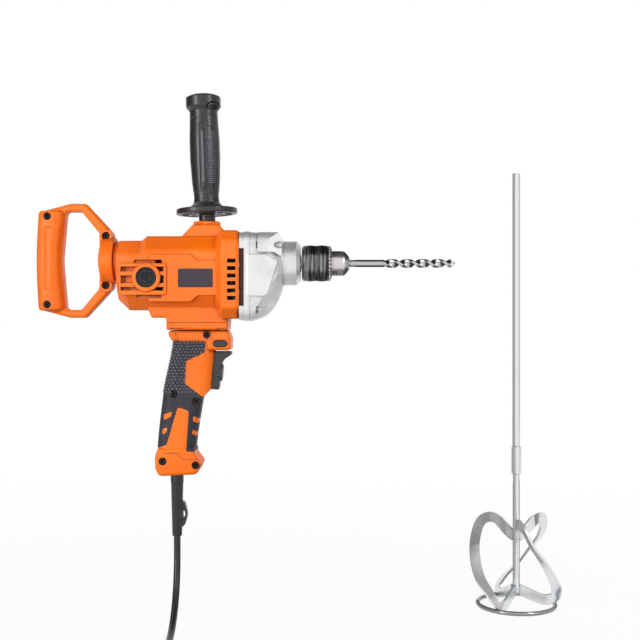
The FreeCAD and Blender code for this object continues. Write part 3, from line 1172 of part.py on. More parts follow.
def make_cord():
    """Cord guard with its key loop, the clamp, the hanging cord, the coil, its tie and the plug."""
    guard = turned_z([(0, 0), (guard_top_radius, 0), (guard_top_radius, -6), (guard_top_radius - 0.4, -9),
                      (guard_end_radius, -guard_length), (0, -guard_length)], [0, 0.5, 0.8, 1, 0.8, 0])
    collar = rod(vec(0, 0, -1), vec(0, 0, 1), guard_top_radius, 7.5)
    loop = softened(key_loop(loop_half_height, loop_out), 1.2, at_y(loop_half_width))
    rim = key_loop(loop_half_height - 4, loop_out - 2.6).cut(key_loop(loop_half_height - 7, loop_out - 4.6))
    rim = rim.cut(box(-20, 20, 1 - loop_half_width, loop_half_width - 1, -guard_length, 0))
    eye = slab([(7.4, loop_z + 4.5), (9.6, loop_z + 3.5), (10.2, loop_z), (9.6, loop_z - 3.5),
                (7.4, loop_z - 4.5)], 0.9, -20, 20)
    loop = loop.cut(rim).cut(eye)
    guard = joined(guard, collar, loop)
    guard = guard.cut(rod(vec(0, 0, -guard_length - 1), vec(0, 0, 1), cord_radius + 0.1, guard_length + 20))
    guard.translate(vec(guard_x, 0, guard_z))
    save("cord_guard", guard)
    clamp = box(guard_x - 12, guard_x + 12, -4.5, 4.5, guard_z + 6.8, guard_z + 10.8)
    save("cord_clamp", softened(clamp, 1.0, lambda e: True))
    level_z = floor_z + cord_radius + tie_thickness + gap
    end = guard_z - guard_length
    drop = end - level_z
    points = [vec(guard_x, 0, end + 22), vec(guard_x, 0, end - 0.10 * drop),
              vec(guard_x + 0.4, -3.4, end - 0.42 * drop), vec(guard_x + 0.9, -20, end - 0.70 * drop),
              vec(guard_x + 1.4, -48, end - 0.91 * drop), vec(guard_x + 1.9, -82, level_z),
              vec(guard_x + 2.3, -122, level_z), vec(guard_x + 2.6, coil_y + 8, level_z)]
    wire, least = eased(points)
    cord = pipe(wire, cord_radius)
    print("cord least radius", round(least, 1), "volume share",
          round(cord.Volume / (math.pi * cord_radius ** 2 * wire.Length), 4))
    save("power_cord", cord)
    centre = vec(guard_x + 2.6 + coil_outer, coil_y, 0)
    quarter = 0.25
    points = []
    tangents = []
    steps = int(round((coil_in_turns + coil_out_turns) / quarter))
    for k in range(steps + 1):
        points.append(coil_point(centre, level_z, k * quarter))
        ahead = coil_point(centre, level_z, k * quarter + 0.002)
        behind = coil_point(centre, level_z, k * quarter - 0.002)
        tangents.append((ahead - behind).normalize())
    tangents[0] = vec(0, -1, 0)
    tangents[-1] = vec(1, 0, 0)
    edges = [Part.LineSegment(points[0] + vec(0, 7.9, 0), points[0]).toShape()]
    edges += biarcs(points, tangents)
    tail = points[-1] + vec(coil_tail, 0, 0)
    edges.append(Part.LineSegment(points[-1], tail).toShape())
    coil_wire = Part.Wire(edges)
    coil = pipe(coil_wire, cord_radius)
    print("coil self gap", round(self_gap(coil_wire), 3), "volume share",
          round(coil.Volume / (math.pi * cord_radius ** 2 * coil_wire.Length), 4),
          "cord length", round(wire.Length + coil_wire.Length))
    save("cord_coil", coil)
    out = centre.x + coil_outer - coil_pitch * 0.25 + cord_radius + gap
    inside = centre.x + coil_outer - coil_pitch * coil_in_turns - cord_radius - gap
    high = level_z + coil_pitch + cord_radius + gap
    tie = box(inside - tie_thickness, out + tie_thickness, coil_y - tie_width / 2, coil_y + tie_width / 2,
              floor_z, high + tie_thickness)
    tie = tie.cut(box(inside, out, coil_y - tie_width, coil_y + tie_width, floor_z + tie_thickness, high))
    save("cord_tie", tie)
    x = tail.x
    y = tail.y
    z = tail.z
    bore = cord_radius + 0.1
    sleeve = turned_x([(x - 16, bore), (x + 12, bore), (x + 12, 7.5), (x - 16, 5.4)], y, z)
    half = z - floor_z
    wide = plug_half_width
    body = bar([(wide, half), (wide, -half), (-wide, -half), (-wide, half)], 6.0, x + 8, x + 8 + plug_length)
    body.translate(vec(0, y, z))
    body = softened(body, 3.0, at_x(x + 8, x + 8 + plug_length))
    body = body.cut(rod(vec(x - 1, y, z), vec(1), bore, 13))
    face = x + 8 + plug_length
    pins = []
    for sign in (-1, 1):
        place = vec(face, y + sign * pin_spacing / 2, z)
        root = rod(place - vec(pin_root), vec(1), pin_root_radius, pin_root + 1)
        pin = joined(rod(place, vec(1), pin_radius, pin_length), root)
        body = body.cut(rod(place - vec(pin_root), vec(1), pin_root_radius + 0.02, 30))
        pins.append(softened(pin, 1.4, at_x(face + pin_length)))
    save("plug", joined(sleeve, body))
    save("plug_pins", *pins)


def coil_point(centre, level_z, turns):
    """Point on the middle of the coiled cord after a number of turns."""
    if turns < coil_in_turns:
        radius = coil_outer - coil_pitch * turns
    else:
        radius = coil_outer - coil_pitch * coil_in_turns + coil_pitch * (turns - coil_in_turns)
    climb = min(1.0, max(0.0, (turns - coil_in_turns + 0.25) / 0.5))
    climb = climb * climb * (3 - 2 * climb)
    angle = math.pi + 2 * math.pi * turns
    return centre + vec(radius * math.cos(angle), radius * math.sin(angle), level_z + coil_pitch * climb)


def self_gap(wire):
    """Least free distance between turns of the coil, from points along it."""
    points = wire.discretize(Distance=3.0)
    least = 1e9
    for i in range(len(points)):
        for j in range(i + 20, len(points)):
            least = min(least, points[i].distanceToPoint(points[j]))
    return least - 2 * cord_radius


def make_chuck():
    """Chuck body, sleeve with bevel teeth, nut, three jaws and the drill bit."""
    front = cone_x + cone_length
    waist = nose_radius - 1.0
    body = turned_x([(chuck_start, 0), (cone_x, 0), (front, 0), (front, 5.6), (front - 1.0, 8.0),
                     (front - 2.6, 10.2), (front - 4.4, 12.3), (front - 6.0, 13.7),
                     (cone_x - 1.4, nose_radius), (chuck_start + 26, nose_radius), (chuck_start + 26, waist),
                     (chuck_start + 17, waist),
                     (chuck_start + 17, nose_radius), (chuck_start + 3.2, nose_radius),
                     (chuck_start + 3.2, sleeve_radius - 3.0), (chuck_start, sleeve_radius - 3.0)])
    body = body.cut(rod(vec(chuck_start - 1, 0, 0), vec(1), 6.4, 16))
    body = body.cut(rod(vec(chuck_start + 16, 0, 0), vec(1), 7.0, front - chuck_start - 24))
    body = body.cut(rod(vec(chuck_start + 16, 0, 0), vec(1), bit_radius + 2 * gap, 90))
    lean = math.radians(jaw_lean)
    along = vec(-math.cos(lean), 0, math.sin(lean))
    tip_x = front - 0.5
    jaws = []
    for k in range(3):
        spin = 120.0 * k + 60
        start = vec(tip_x + 3, 0, bit_radius + 0.6 - 3 * math.tan(lean))
        hole = rod(start, along, jaw_radius + gap, jaw_length + jaw_travel + 4)
        hole.rotate(vec(), vec(1), spin)
        body = body.cut(hole)
        jaw = rod(start, along, jaw_radius, jaw_length + 3)
        jaw = jaw.cut(box(-50, 200, -20, 20, -40, bit_radius + 0.35))
        jaw = jaw.cut(box(tip_x, tip_x + 30, -20, 20, -20, 20))
        jaw.rotate(vec(), vec(1), spin)
        jaws.append(jaw)
    for k in range(3):
        hole = rod(vec(nose_x + 3.6, 0, 0), vec(0, 0, -1), key_hole_radius, 30)
        hole = hole.cut(rod(vec(0, 0, 0), vec(1), nose_radius - 3.5, 100))
        hole.rotate(vec(), vec(1), 120.0 * k - 40)
        body = body.cut(hole)
    save("chuck_body", body)
    for k, jaw in enumerate(jaws):
        save("chuck_jaw_%d" % (k + 1), jaw)
    start = sleeve_x + 0.6
    end = sleeve_x + sleeve_length
    inside = nose_radius + gap
    wave = []
    for k in range(25):
        share = k / 24.0
        dip = 0.55 * (1 - math.cos(4 * math.pi * share)) / 2
        wave.append((start + 1.5 + (end - start - 3.0) * share, sleeve_radius - 0.55 + dip))
    sleeve = turned_x([(end, inside), (start + 3.2, inside), (start + 3.2, sleeve_radius - 3.0 + gap),
                       (start, sleeve_radius - 3.0 + gap), (start, sleeve_radius - 1.6)] + wave
                      + [(end, sleeve_radius - 1.4)])
    teeth_end = end + teeth_length
    ring = turned_x([(end - 3, inside), (end - 3, sleeve_radius - 2.05), (end + 0.05, sleeve_radius - 2.05),
                     (end + 0.05, sleeve_radius - 0.4), (end + 1.4, sleeve_radius - 0.4),
                     (teeth_end, inside + 2.2), (teeth_end, inside)])
    cuts = []
    for k in range(chuck_teeth):
        cut = Part.makeCone(0.5, 1.7, 9.0, vec(teeth_end + 0.2, 0, inside + 0.6), vec(-0.40, 0, 0.92))
        cut.rotate(vec(), vec(1), 360.0 * k / chuck_teeth)
        cuts.append(cut)
    ring = ring.cut(Part.makeCompound(cuts))
    save("chuck_sleeve", sleeve.cut(tube_x(end - 3.02, end + 1, 0.5, sleeve_radius - 2.0)))
    save("chuck_ring", ring)
    save("drill_bit", make_bit(front))


def make_bit(front):
    """Drill bit with a plain shank and two slow flutes."""
    shank_start = chuck_start + 22
    flute_start = front + bit_shank_length
    sections = []
    count = 28
    turn = 2 * math.pi * bit_flute_length / bit_pitch
    for k in range(count + 1):
        share = k / float(count)
        x = flute_start + bit_flute_length * share
        spots = []
        for degrees, part in ((-24, 1.0), (0, 1.0), (24, 1.0), (90, 0.4), (156, 1.0), (180, 1.0), (204, 1.0),
                              (270, 0.4)):
            angle = math.radians(degrees) + turn * share
            reach = bit_flute_radius * part
            spots.append(vec(x, reach * math.cos(angle), reach * math.sin(angle)))
        spots.append(spots[0])
        sections.append(Part.Wire([Part.Arc(*spots[n:n + 3]).toShape() for n in (0, 2, 4, 6)]))
    flutes = Part.makeLoft(sections, True, False)
    tip = turned_x([(flute_start + bit_flute_length * 0.5, 0), (flute_start + bit_flute_length, 0),
                    (flute_start + bit_flute_length - 8, bit_flute_radius + 1),
                    (flute_start - 20, bit_flute_radius + 1), (flute_start - 20, 0)])
    flutes = flutes.common(tip)
    shank = turned_x([(shank_start, 0), (flute_start + 1.5, 0), (flute_start + 1.5, bit_radius - 1.0),
                      (flute_start, bit_radius), (shank_start, bit_radius)])
    return shank.fuse(flutes)


def blade_point(share):
    """Radius, height and turn of a paddle blade's middle line; share runs from 0 to 1."""
    top = paddle_wire + blade_height
    reach = paddle_ring_radius
    rows = [(paddle_shaft_radius - 1, top - 23, 0.0), (16, top - 14.5, 0.0), (31, top - 3, 0.03),
            (43, top - 5, 0.10), (reach + 2.5, top - 22, 0.2), (reach + 4, top - 46, 0.40),
            (reach + 3.4, top - 70, 0.62),
            (reach + 1.5, 21.0, 0.86), (reach - 2.5, 11.4, 0.96), (reach - 10.5, 8.4, 1.0), (26, 10.6, 1.0),
            (paddle_shaft_radius - 1, shaft_end + 4.5, 1.0)]
    curve = Part.BSplineCurve()
    curve.interpolate([vec(r, t * 100, z) for r, z, t in rows])
    first = curve.FirstParameter
    place = curve.value(first + (curve.LastParameter - first) * share)
    return place.x, place.z, place.y / 100.0


def make_paddle():
    """Paddle: shank, coupler, shaft, three twisted blades and the foot ring."""
    foot = floor_z
    top = foot + paddle_height
    joint = foot + coupler_up
    across = paddle_shank_across / math.sqrt(3)
    axis = vec(paddle_x, paddle_y, 0)
    corners = [axis + vec(across * math.cos(k * math.pi / 3), across * math.sin(k * math.pi / 3), joint + 14)
               for k in range(6)]
    shank = Part.Face(Part.makePolygon(corners + [corners[0]])).extrude(vec(0, 0, top - joint - 14))
    wide = across + 1
    rounded = [(0, joint), (wide, joint), (wide, top - 1.4), (across - 0.8, top), (0, top)]
    shank = shank.common(turned_z(rounded, 0, paddle_x, paddle_y))
    save("paddle_shank", shank)
    end = joint + coupler_length
    coupler = turned_z([(0, joint), (coupler_radius, joint), (coupler_radius, end), (0, end)],
                       [0, 1, 1, 0], paddle_x, paddle_y)
    coupler = coupler.cut(Part.Face(Part.makePolygon(corners + [corners[0]])).extrude(vec(0, 0, 60)))
    coupler = coupler.cut(rod(vec(paddle_x, paddle_y, joint - 1), vec(0, 0, 1), paddle_shaft_radius, 15))
    save("paddle_coupler", coupler)
    save("paddle_shaft", rod(vec(paddle_x, paddle_y, foot + shaft_end), vec(0, 0, 1), paddle_shaft_radius,
                             coupler_up + 13.5 - shaft_end))
    ring = Part.makeTorus(paddle_ring_radius, paddle_wire, axis + vec(0, 0, foot + paddle_wire), vec(0, 0, 1))
    save("paddle_ring", ring)
    for k in range(3):
        sections = []
        for n in range(31):
            share = n / 30.0
            step = 0.004
            low = max(0.0, share - step)
            high = min(1.0, share + step)
            spots = []
            for place in (low, share, high):
                r, z, t = blade_point(place)
                angle = math.radians(20.0 + 120.0 * k + blade_twist * t)
                spots.append((vec(r * math.cos(angle), r * math.sin(angle), z), r, z, angle))
            tangent = (spots[2][0] - spots[0][0]).normalize()
            run = vec(spots[2][1] - spots[0][1], 0, spots[2][2] - spots[0][2]).normalize()
            angle = spots[1][3]
            out = vec(-run.z * math.cos(angle), -run.z * math.sin(angle), run.x)
            thin = (out - tangent * out.dot(tangent)).normalize()
            broad = tangent.cross(thin)
            middle = spots[1][0]
            corner = [middle + broad * (a * blade_thickness / 2) + thin * (b * blade_width / 2)
                      for a, b in ((-1, -1), (1, -1), (1, 1), (-1, 1))]
            sections.append(Part.makePolygon(corner + [corner[0]]))
        blade = Part.makeLoft(sections, True, False)
        blade.translate(vec(paddle_x, paddle_y, foot))
        shaft = rod(vec(paddle_x, paddle_y, foot), vec(0, 0, 1), paddle_shaft_radius, paddle_height)
        save("paddle_blade_%d" % (k + 1), blade.cut(shaft).cut(ring))


def make_case_screws():
    """Four screws through the gear case into the housing."""
    seat = case_rear_x + case_screw_depth
    save("case_screws", *[screw(vec(seat, y, z), vec(-1), case_screw_radius, case_screw_shank, case_screw_head,
                                4.0) for y, z in case_screw_places()])


os.makedirs("parts", exist_ok=True)
save("gear_case", make_gear_case())
save("gear_plate", make_gear_plate())
make_case_screws()
make_train()
make_motor()
make_housing()
make_side_handle()
make_rear_handle()
make_grip()
make_cord()
make_chuck()
make_paddle()
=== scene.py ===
"""Studio scene of a corded mixing drill with its loose stirring paddle.

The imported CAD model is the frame. Each sub-assembly class takes its places from the frame's nodes, adds
the detail that the solids leave out, and dresses every piece in a procedural finish.
"""

import json
import logging
import math
from collections.abc import Sequence
from dataclasses import dataclass
from enum import Enum

import bmesh
import bpy
from mathutils import Matrix, Vector


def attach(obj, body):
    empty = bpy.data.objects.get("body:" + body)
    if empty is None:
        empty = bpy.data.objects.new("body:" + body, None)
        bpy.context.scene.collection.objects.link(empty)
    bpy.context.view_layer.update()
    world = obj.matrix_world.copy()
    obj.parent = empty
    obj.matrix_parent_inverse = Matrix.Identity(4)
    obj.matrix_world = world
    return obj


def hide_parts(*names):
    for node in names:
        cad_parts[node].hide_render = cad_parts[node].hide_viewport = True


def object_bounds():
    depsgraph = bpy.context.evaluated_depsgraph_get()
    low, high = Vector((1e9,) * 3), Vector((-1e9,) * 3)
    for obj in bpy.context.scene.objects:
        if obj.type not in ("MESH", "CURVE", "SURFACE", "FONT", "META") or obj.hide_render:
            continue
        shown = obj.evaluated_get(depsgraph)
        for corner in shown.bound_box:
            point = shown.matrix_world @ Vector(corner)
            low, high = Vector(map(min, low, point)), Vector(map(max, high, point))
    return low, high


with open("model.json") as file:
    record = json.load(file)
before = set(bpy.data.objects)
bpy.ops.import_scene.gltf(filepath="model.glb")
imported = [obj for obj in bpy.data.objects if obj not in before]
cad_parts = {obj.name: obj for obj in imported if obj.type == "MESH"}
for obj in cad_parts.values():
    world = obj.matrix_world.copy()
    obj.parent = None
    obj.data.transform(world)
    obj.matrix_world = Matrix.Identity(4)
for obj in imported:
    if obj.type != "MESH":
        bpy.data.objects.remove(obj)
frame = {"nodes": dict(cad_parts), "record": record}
CAD_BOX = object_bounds()
MM = 0.001
WELD = 0.002 * MM
SORT_DIGITS = 5
SIXTH_TURN = math.pi / 3
WHITE = (1.0, 1.0, 1.0, 1.0)
log = logging.getLogger("mixing_drill")

Socket = bpy.types.NodeSocket
Tree = bpy.types.NodeTree
Point = tuple[float, float, float]
Pair = tuple[float, float]


class Axis(Enum):
    """A direction of the frame that a pattern runs along or a piece faces."""

    X = 0
    Y = 1
    Z = 2


def linear(colour: str) -> tuple[float, float, float, float]:
    """Turns an sRGB hex colour into linear light.

    Args:
        colour: six hex digits after a hash sign.

    Returns:
        Red, green, blue and an alpha of one.
    """
    parts = [int(colour[k : k + 2], 16) / 255 for k in (1, 3, 5)]
    red, green, blue = (c / 12.92 if c <= 0.04045 else ((c + 0.055) / 1.055) ** 2.4 for c in parts)
    return red, green, blue, 1.0


def add_node(tree: Tree, kind: str, inputs: dict | None = None, **settings) -> bpy.types.Node:
    """Adds one node to a tree.

    Args:
        tree: the shader or geometry tree.
        kind: the node's type name.
        inputs: a value, or an output socket to link, for each input by name or number.
        settings: properties of the node itself.

    Returns:
        The new node.
    """
    node = tree.nodes.new(kind)
    for name, value in settings.items():
        setattr(node, name, value)
    for key, value in (inputs or {}).items():
        if isinstance(value, Socket):
            tree.links.new(value, node.inputs[key])
        else:
            node.inputs[key].default_value = value
    return node


def cleared_tree(owner: bpy.types.Material | bpy.types.World) -> Tree:
    """Switches on the nodes of a material or world and empties its tree.

    Args:
        owner: the material or world.

    Returns:
        Its empty tree.
    """
    owner.use_nodes = True
    owner.node_tree.nodes.clear()
    return owner.node_tree


@dataclass(frozen=True)
class Finish:
    """A surface finish: its colours, its gloss and relief, an edge colour that stands partly for wear and
    partly for painted highlights, and painted shade in its corners.

    The second colour, shade, comes in where the slow pattern lies in shade_span, and the gloss drifts where
    it lies in gloss_span. The fine pattern is raised as bump. Lengths are in millimetres.
    """

    name: str
    colour: str
    roughness: float
    metallic: float = 0.0
    specular: float = 0.5
    edge_mm: float = 0.5
    # The edge colour comes in over rounded edges, in patches. It is partly wear and partly painted light: a
    # painted highlight where it is paler than the colour, a painted dark reflection where it is darker.
    edge_wear_and_sheen: str = "#FFFFFF"
    edge_wear_and_sheen_share: float = 0.0
    edge_wear_and_sheen_patch_mm: float = 9.0
    edge_wear_and_sheen_bend: Pair = (0.995, 0.86)
    # The corner colour is painted shade: it comes in where ambient occlusion finds corners, creases and
    # recesses.
    painted_corner_shade: str = "#000000"
    painted_corner_shade_share: float = 0.5
    painted_corner_shade_mm: float = 5.0
    painted_corner_shade_open: Pair = (0.95, 0.35)
    shade: str = "#000000"
    shade_share: float = 0.1
    shade_span: Pair = (0.35, 0.75)
    gloss_span: Pair = (0.3, 0.7)
    gloss_drift: Pair = (-0.05, 0.06)
    relief: float = 0.35
    relief_mm: float = 0.05
    samples: int = 6

    def material(self) -> bpy.types.Material:
        """Builds the material once.

        Returns:
            The material.
        """
        known = bpy.data.materials.get(self.name)
        if known is not None:
            return known
        made = bpy.data.materials.new(self.name)
        made.use_nodes = True
        tree = made.node_tree
        shader = tree.nodes["Principled BSDF"]
        shader.inputs["Metallic"].default_value = self.metallic
        shader.inputs["Specular IOR Level"].default_value = self.specular
        place = add_node(tree, "ShaderNodeTexCoord").outputs["Object"]
        rounded = add_node(tree, "ShaderNodeBevel", {"Radius": self.edge_mm * MM}, samples=self.samples)
        edge = rounded.outputs["Normal"]
        slow, fine = self.patterns(tree, place)
        dull = add_node(tree, "ShaderNodeMapRange",
                        {"Value": slow, 1: self.gloss_span[0], 2: self.gloss_span[1],
                         3: self.roughness + self.gloss_drift[0], 4: self.roughness + self.gloss_drift[1]})
        bump = add_node(tree, "ShaderNodeBump", {"Height": fine, "Normal": edge, "Strength": self.relief,
                                                 "Distance": self.relief_mm * MM})
        tree.links.new(self.aged(tree, place, edge, slow), shader.inputs["Base Color"])
        tree.links.new(dull.outputs[0], shader.inputs["Roughness"])
        tree.links.new(bump.outputs[0], shader.inputs["Normal"])
        return made

    def patterns(self, tree: Tree, place: Socket) -> tuple[Socket, Socket]:
        """Draws the patterns of this finish.

        Args:
            tree: the material's node tree.
            place: Object coordinates in metres.

        Returns:
            The slow pattern of colour and gloss, and the fine pattern of the relief.
        """
        raise NotImplementedError

    def edge_wear_and_sheen_mask(self, tree: Tree, place: Socket, edge: Socket) -> Socket:
        """Works out where edges get the edge colour, which stands partly for wear and partly for painted
        highlights.

        Args:
            tree: the material's node tree.
            place: Object coordinates in metres.
            edge: normals rounded over the edges.

        Returns:
            A factor from nought on flat faces to the edge colour's share on the edges.
        """
        true = add_node(tree, "ShaderNodeNewGeometry").outputs["Normal"]
        turn = add_node(tree, "ShaderNodeVectorMath", {0: true, 1: edge}, operation="DOT_PRODUCT")
        patchy = add_node(tree, "ShaderNodeTexNoise",
                          {"Vector": place, "Scale": 1 / (self.edge_wear_and_sheen_patch_mm * MM), "Detail": 3.0})
        bent = add_node(tree, "ShaderNodeMapRange", {"Value": turn.outputs["Value"], 1: self.edge_wear_and_sheen_bend[0],
                                                     2: self.edge_wear_and_sheen_bend[1], 3: 0.0, 4: self.edge_wear_and_sheen_share})
        edge_mask = add_node(tree, "ShaderNodeMath", {0: bent.outputs[0], 1: patchy.outputs["Fac"]},
                          operation="MULTIPLY")
        return edge_mask.outputs[0]

    def aged(self, tree: Tree, place: Socket, edge: Socket, slow: Socket) -> Socket:
        """Shades the colour by the slow pattern, gives its edges the edge colour of wear and painted
        highlights, and paints shade into its corners.

        Args:
            tree: the material's node tree.
            place: Object coordinates in metres.
            edge: normals rounded over the edges.
            slow: the slow pattern.

        Returns:
            The finished colour.
        """
        amount = add_node(tree, "ShaderNodeMapRange", {"Value": slow, 1: self.shade_span[0],
                                                       2: self.shade_span[1], 3: 0.0, 4: self.shade_share})
        # Ambient occlusion darkens corners and creases here: painted shade.
        corner = add_node(tree, "ShaderNodeAmbientOcclusion", {"Distance": self.painted_corner_shade_mm * MM},
                          samples=self.samples)
        shut = add_node(tree, "ShaderNodeMapRange", {"Value": corner.outputs["AO"], 1: self.painted_corner_shade_open[0],
                                                     2: self.painted_corner_shade_open[1], 3: 0.0, 4: self.painted_corner_shade_share})
        colour: Socket | Sequence[float] = linear(self.colour)
        layers = ((amount.outputs[0], self.shade), (self.edge_wear_and_sheen_mask(tree, place, edge), self.edge_wear_and_sheen),
                  (shut.outputs[0], self.painted_corner_shade))
        for share, layer in layers:
            mixed = add_node(tree, "ShaderNodeMix", {0: share, 6: colour, 7: linear(layer)}, data_type="RGBA")
            colour = mixed.outputs[2]
        return colour


@dataclass(frozen=True)
class MouldedPlastic(Finish):
    """Injection moulded plastic: an even colour that drifts slowly, under a spark-eroded grain."""

    drift_mm: float = 70.0
    # The real grain is about 0.1 mm wide. It is drawn coarser, so that it shows in the render.
    grain_mm: float = 0.8

    def patterns(self, tree: Tree, place: Socket) -> tuple[Socket, Socket]:
        """Draws the slow drift of the colour and the moulded grain.

        Args:
            tree: the material's node tree.
            place: Object coordinates in metres.

        Returns:
            The drift and the grain.
        """
        drift = add_node(tree, "ShaderNodeTexNoise",
                         {"Vector": place, "Scale": 1 / (self.drift_mm * MM), "Detail": 2.0})
        grain = add_node(tree, "ShaderNodeTexNoise", {"Vector": place, "Scale": 1 / (self.grain_mm * MM),
                                                      "Detail": 2.0, "Roughness": 0.6})
        return drift.outputs["Fac"], grain.outputs["Fac"]


@dataclass(frozen=True)
class CastMetal(Finish):
    """Cast metal, shot blasted: matt, with a pebbled skin and dull patches."""

    shade: str = "#8E9094"
    shade_share: float = 0.35
    shade_span: Pair = (0.4, 0.8)
    gloss_drift: Pair = (-0.07, 0.07)
    relief: float = 0.4
    relief_mm: float = 0.06
    patch_mm: float = 26.0
    # Shot leaves dents of about 0.3 mm. They are drawn coarser, so that they show in the render.
    pebble_mm: float = 1.1

    def patterns(self, tree: Tree, place: Socket) -> tuple[Socket, Socket]:
        """Draws the dull patches and the pebbled skin.

        Args:
            tree: the material's node tree.
            place: Object coordinates in metres.

        Returns:
            The patches and the skin.
        """
        patch = add_node(tree, "ShaderNodeTexNoise",
                         {"Vector": place, "Scale": 1 / (self.patch_mm * MM), "Detail": 4.0})
        skin = add_node(tree, "ShaderNodeTexVoronoi", {"Vector": place, "Scale": 1 / (self.pebble_mm * MM)},
                        feature="SMOOTH_F1")
        return patch.outputs["Fac"], skin.outputs["Distance"]


@dataclass(frozen=True)
class WorkedMetal(Finish):
    """Turned, ground or drawn metal: tool lines in one direction, which also streak its colour and gloss.

    Where across is set the lines are rings about the axis, and otherwise they run along it.
    """

    shade: str = "#6B6B6E"
    shade_share: float = 0.3
    shade_span: Pair = (0.4, 0.75)
    gloss_drift: Pair = (-0.05, 0.08)
    relief: float = 0.5
    relief_mm: float = 0.012
    # Real tool lines are about 0.05 mm apart. They are drawn coarser, so that they show in the render.
    line_mm: float = 0.35
    length_mm: float = 40.0
    along: Axis = Axis.X
    across: bool = True

    def patterns(self, tree: Tree, place: Socket) -> tuple[Socket, Socket]:
        """Draws the tool lines.

        Args:
            tree: the material's node tree.
            place: Object coordinates in metres.

        Returns:
            The lines, as both patterns.
        """
        fine = 1 / (self.line_mm * MM)
        drawn_out = 1 / (self.length_mm * MM)
        scales = [fine if (axis is self.along) == self.across else drawn_out for axis in Axis]
        scaled = add_node(tree, "ShaderNodeMapping", {"Vector": place, "Scale": scales})
        lines = add_node(tree, "ShaderNodeTexNoise",
                         {"Vector": scaled.outputs[0], "Scale": 1.0, "Detail": 3.0, "Roughness": 0.65})
        return lines.outputs["Fac"], lines.outputs["Fac"]


# Vivid orange ABS, moulded: satin and grained, paler along its edges with painted highlights and brown in its
# corners with painted shade.
ORANGE_ABS = MouldedPlastic("orange_abs", "#F4710D", 0.38, specular=0.36, edge_mm=0.9, edge_wear_and_sheen="#FFAA74",
                            edge_wear_and_sheen_share=0.9, shade="#DC5404", shade_share=0.5, painted_corner_shade="#6A2A04",
                            painted_corner_shade_share=0.9)
# Black glass-filled nylon, moulded: a soft sheen on near black, with grey painted highlights along its edges.
BLACK_NYLON = MouldedPlastic("black_nylon", "#242326", 0.3, specular=0.6, edge_mm=0.8, edge_wear_and_sheen="#8A898F",
                             edge_wear_and_sheen_share=0.9, shade="#1C1B1E", shade_share=0.4, grain_mm=0.7)
# Black phenolic of the brush caps, pressed: hard and smooth, with a painted highlight along its edges and
# painted shade in its hollows.
BLACK_PHENOLIC = MouldedPlastic("black_phenolic", "#1A191B", 0.2, specular=0.2, edge_mm=0.9, edge_wear_and_sheen="#8C8B92",
                                edge_wear_and_sheen_share=1.0, shade="#121113", shade_share=0.4, relief_mm=0.01,
                                painted_corner_shade_mm=2.0, painted_corner_shade_share=0.9)
# The nylon's raised ribs and the line along the long rib's crest: mid grey, a painted highlight that makes
# them stand out from the black.
PAINTED_HIGHLIGHT_NYLON = MouldedPlastic("nylon_painted_highlight", "#74737A", 0.36, specular=0.35, edge_mm=0.3, edge_wear_and_sheen="#66656A",
                              edge_wear_and_sheen_share=0.7, shade="#434248", shade_share=0.4, grain_mm=0.7)
# Dark grey thermoplastic rubber, moulded over the grip: matt, with a dusty look.
SOFT_COVER = MouldedPlastic("soft_cover_rubber", "#353439", 0.56, specular=0.22, edge_wear_and_sheen="#6B6970",
                            edge_wear_and_sheen_share=0.5, shade="#2A292D", shade_share=0.5, grain_mm=0.5)
# The rubber's raised diamonds: paler than the cover, a painted highlight, with a painted gleam on their rims.
PAINTED_HIGHLIGHT_COVER = MouldedPlastic("soft_cover_painted_highlight", "#66646B", 0.36, specular=0.6, edge_mm=0.3,
                              edge_wear_and_sheen="#B8B6BE", edge_wear_and_sheen_share=0.9, shade="#46444A", shade_share=0.5, grain_mm=0.5)
# Die cast aluminium as it leaves the shot blaster: pale, matt and faintly pebbled.
CAST_ALUMINIUM = CastMetal("die_cast_aluminium", "#EAEAEC", 0.42, 1.0, edge_mm=0.6, edge_wear_and_sheen="#F2F2F2",
                           edge_wear_and_sheen_share=0.6)
# The cast bearing plate: dark brown, painted shade with a painted orange reflection, as a dull line in the
# gap behind the gear case.
DARK_PLATE = CastMetal("gap_plate_painted_shade", "#4A2C28", 0.5, 0.4, edge_wear_and_sheen="#6A4A42", edge_wear_and_sheen_share=0.4, shade="#2A1614")
# Turned steel of the chuck nose: bright, with faint rings left by the lathe.
TURNED_STEEL = WorkedMetal("turned_steel", "#DAD7D6", 0.26, 1.0, edge_mm=0.3, edge_wear_and_sheen="#F4F2F0",
                           edge_wear_and_sheen_share=0.2, shade_share=0.15, relief_mm=0.004)
# Ground tool steel of the bit, the jaws and the pins: nearly a mirror, with painted shade dark in its flutes.
GROUND_STEEL = WorkedMetal("ground_steel", "#CEC8C4", 0.17, 1.0, edge_mm=0.2, edge_wear_and_sheen="#E4E2E0",
                           edge_wear_and_sheen_share=0.2, relief_mm=0.008, line_mm=0.25, painted_corner_shade="#2A2624", painted_corner_shade_share=0.85,
                           painted_corner_shade_mm=3.0)
# Black oxide on turned steel: near black rings, with grey ones between them that are painted glints.
BLACK_OXIDE = WorkedMetal("black_oxide", "#A8A6A8", 0.24, 1.0, edge_mm=0.3, edge_wear_and_sheen="#D0D0D2", edge_wear_and_sheen_share=0.3,
                          shade="#2A282B", shade_share=0.95, shade_span=(0.32, 0.6), relief_mm=0.02,
                          line_mm=2.0)
# Oiled phosphate on the small screws: almost black, with a painted highlight on the rims and painted shade in
# the sockets.
BLACK_PHOSPHATE = WorkedMetal("black_phosphate", "#2C292B", 0.3, 1.0, edge_mm=0.55, edge_wear_and_sheen="#A8A4A6",
                              edge_wear_and_sheen_share=1.0, shade="#1E1B1C", line_mm=0.5, painted_corner_shade_share=0.95, painted_corner_shade_mm=2.0)
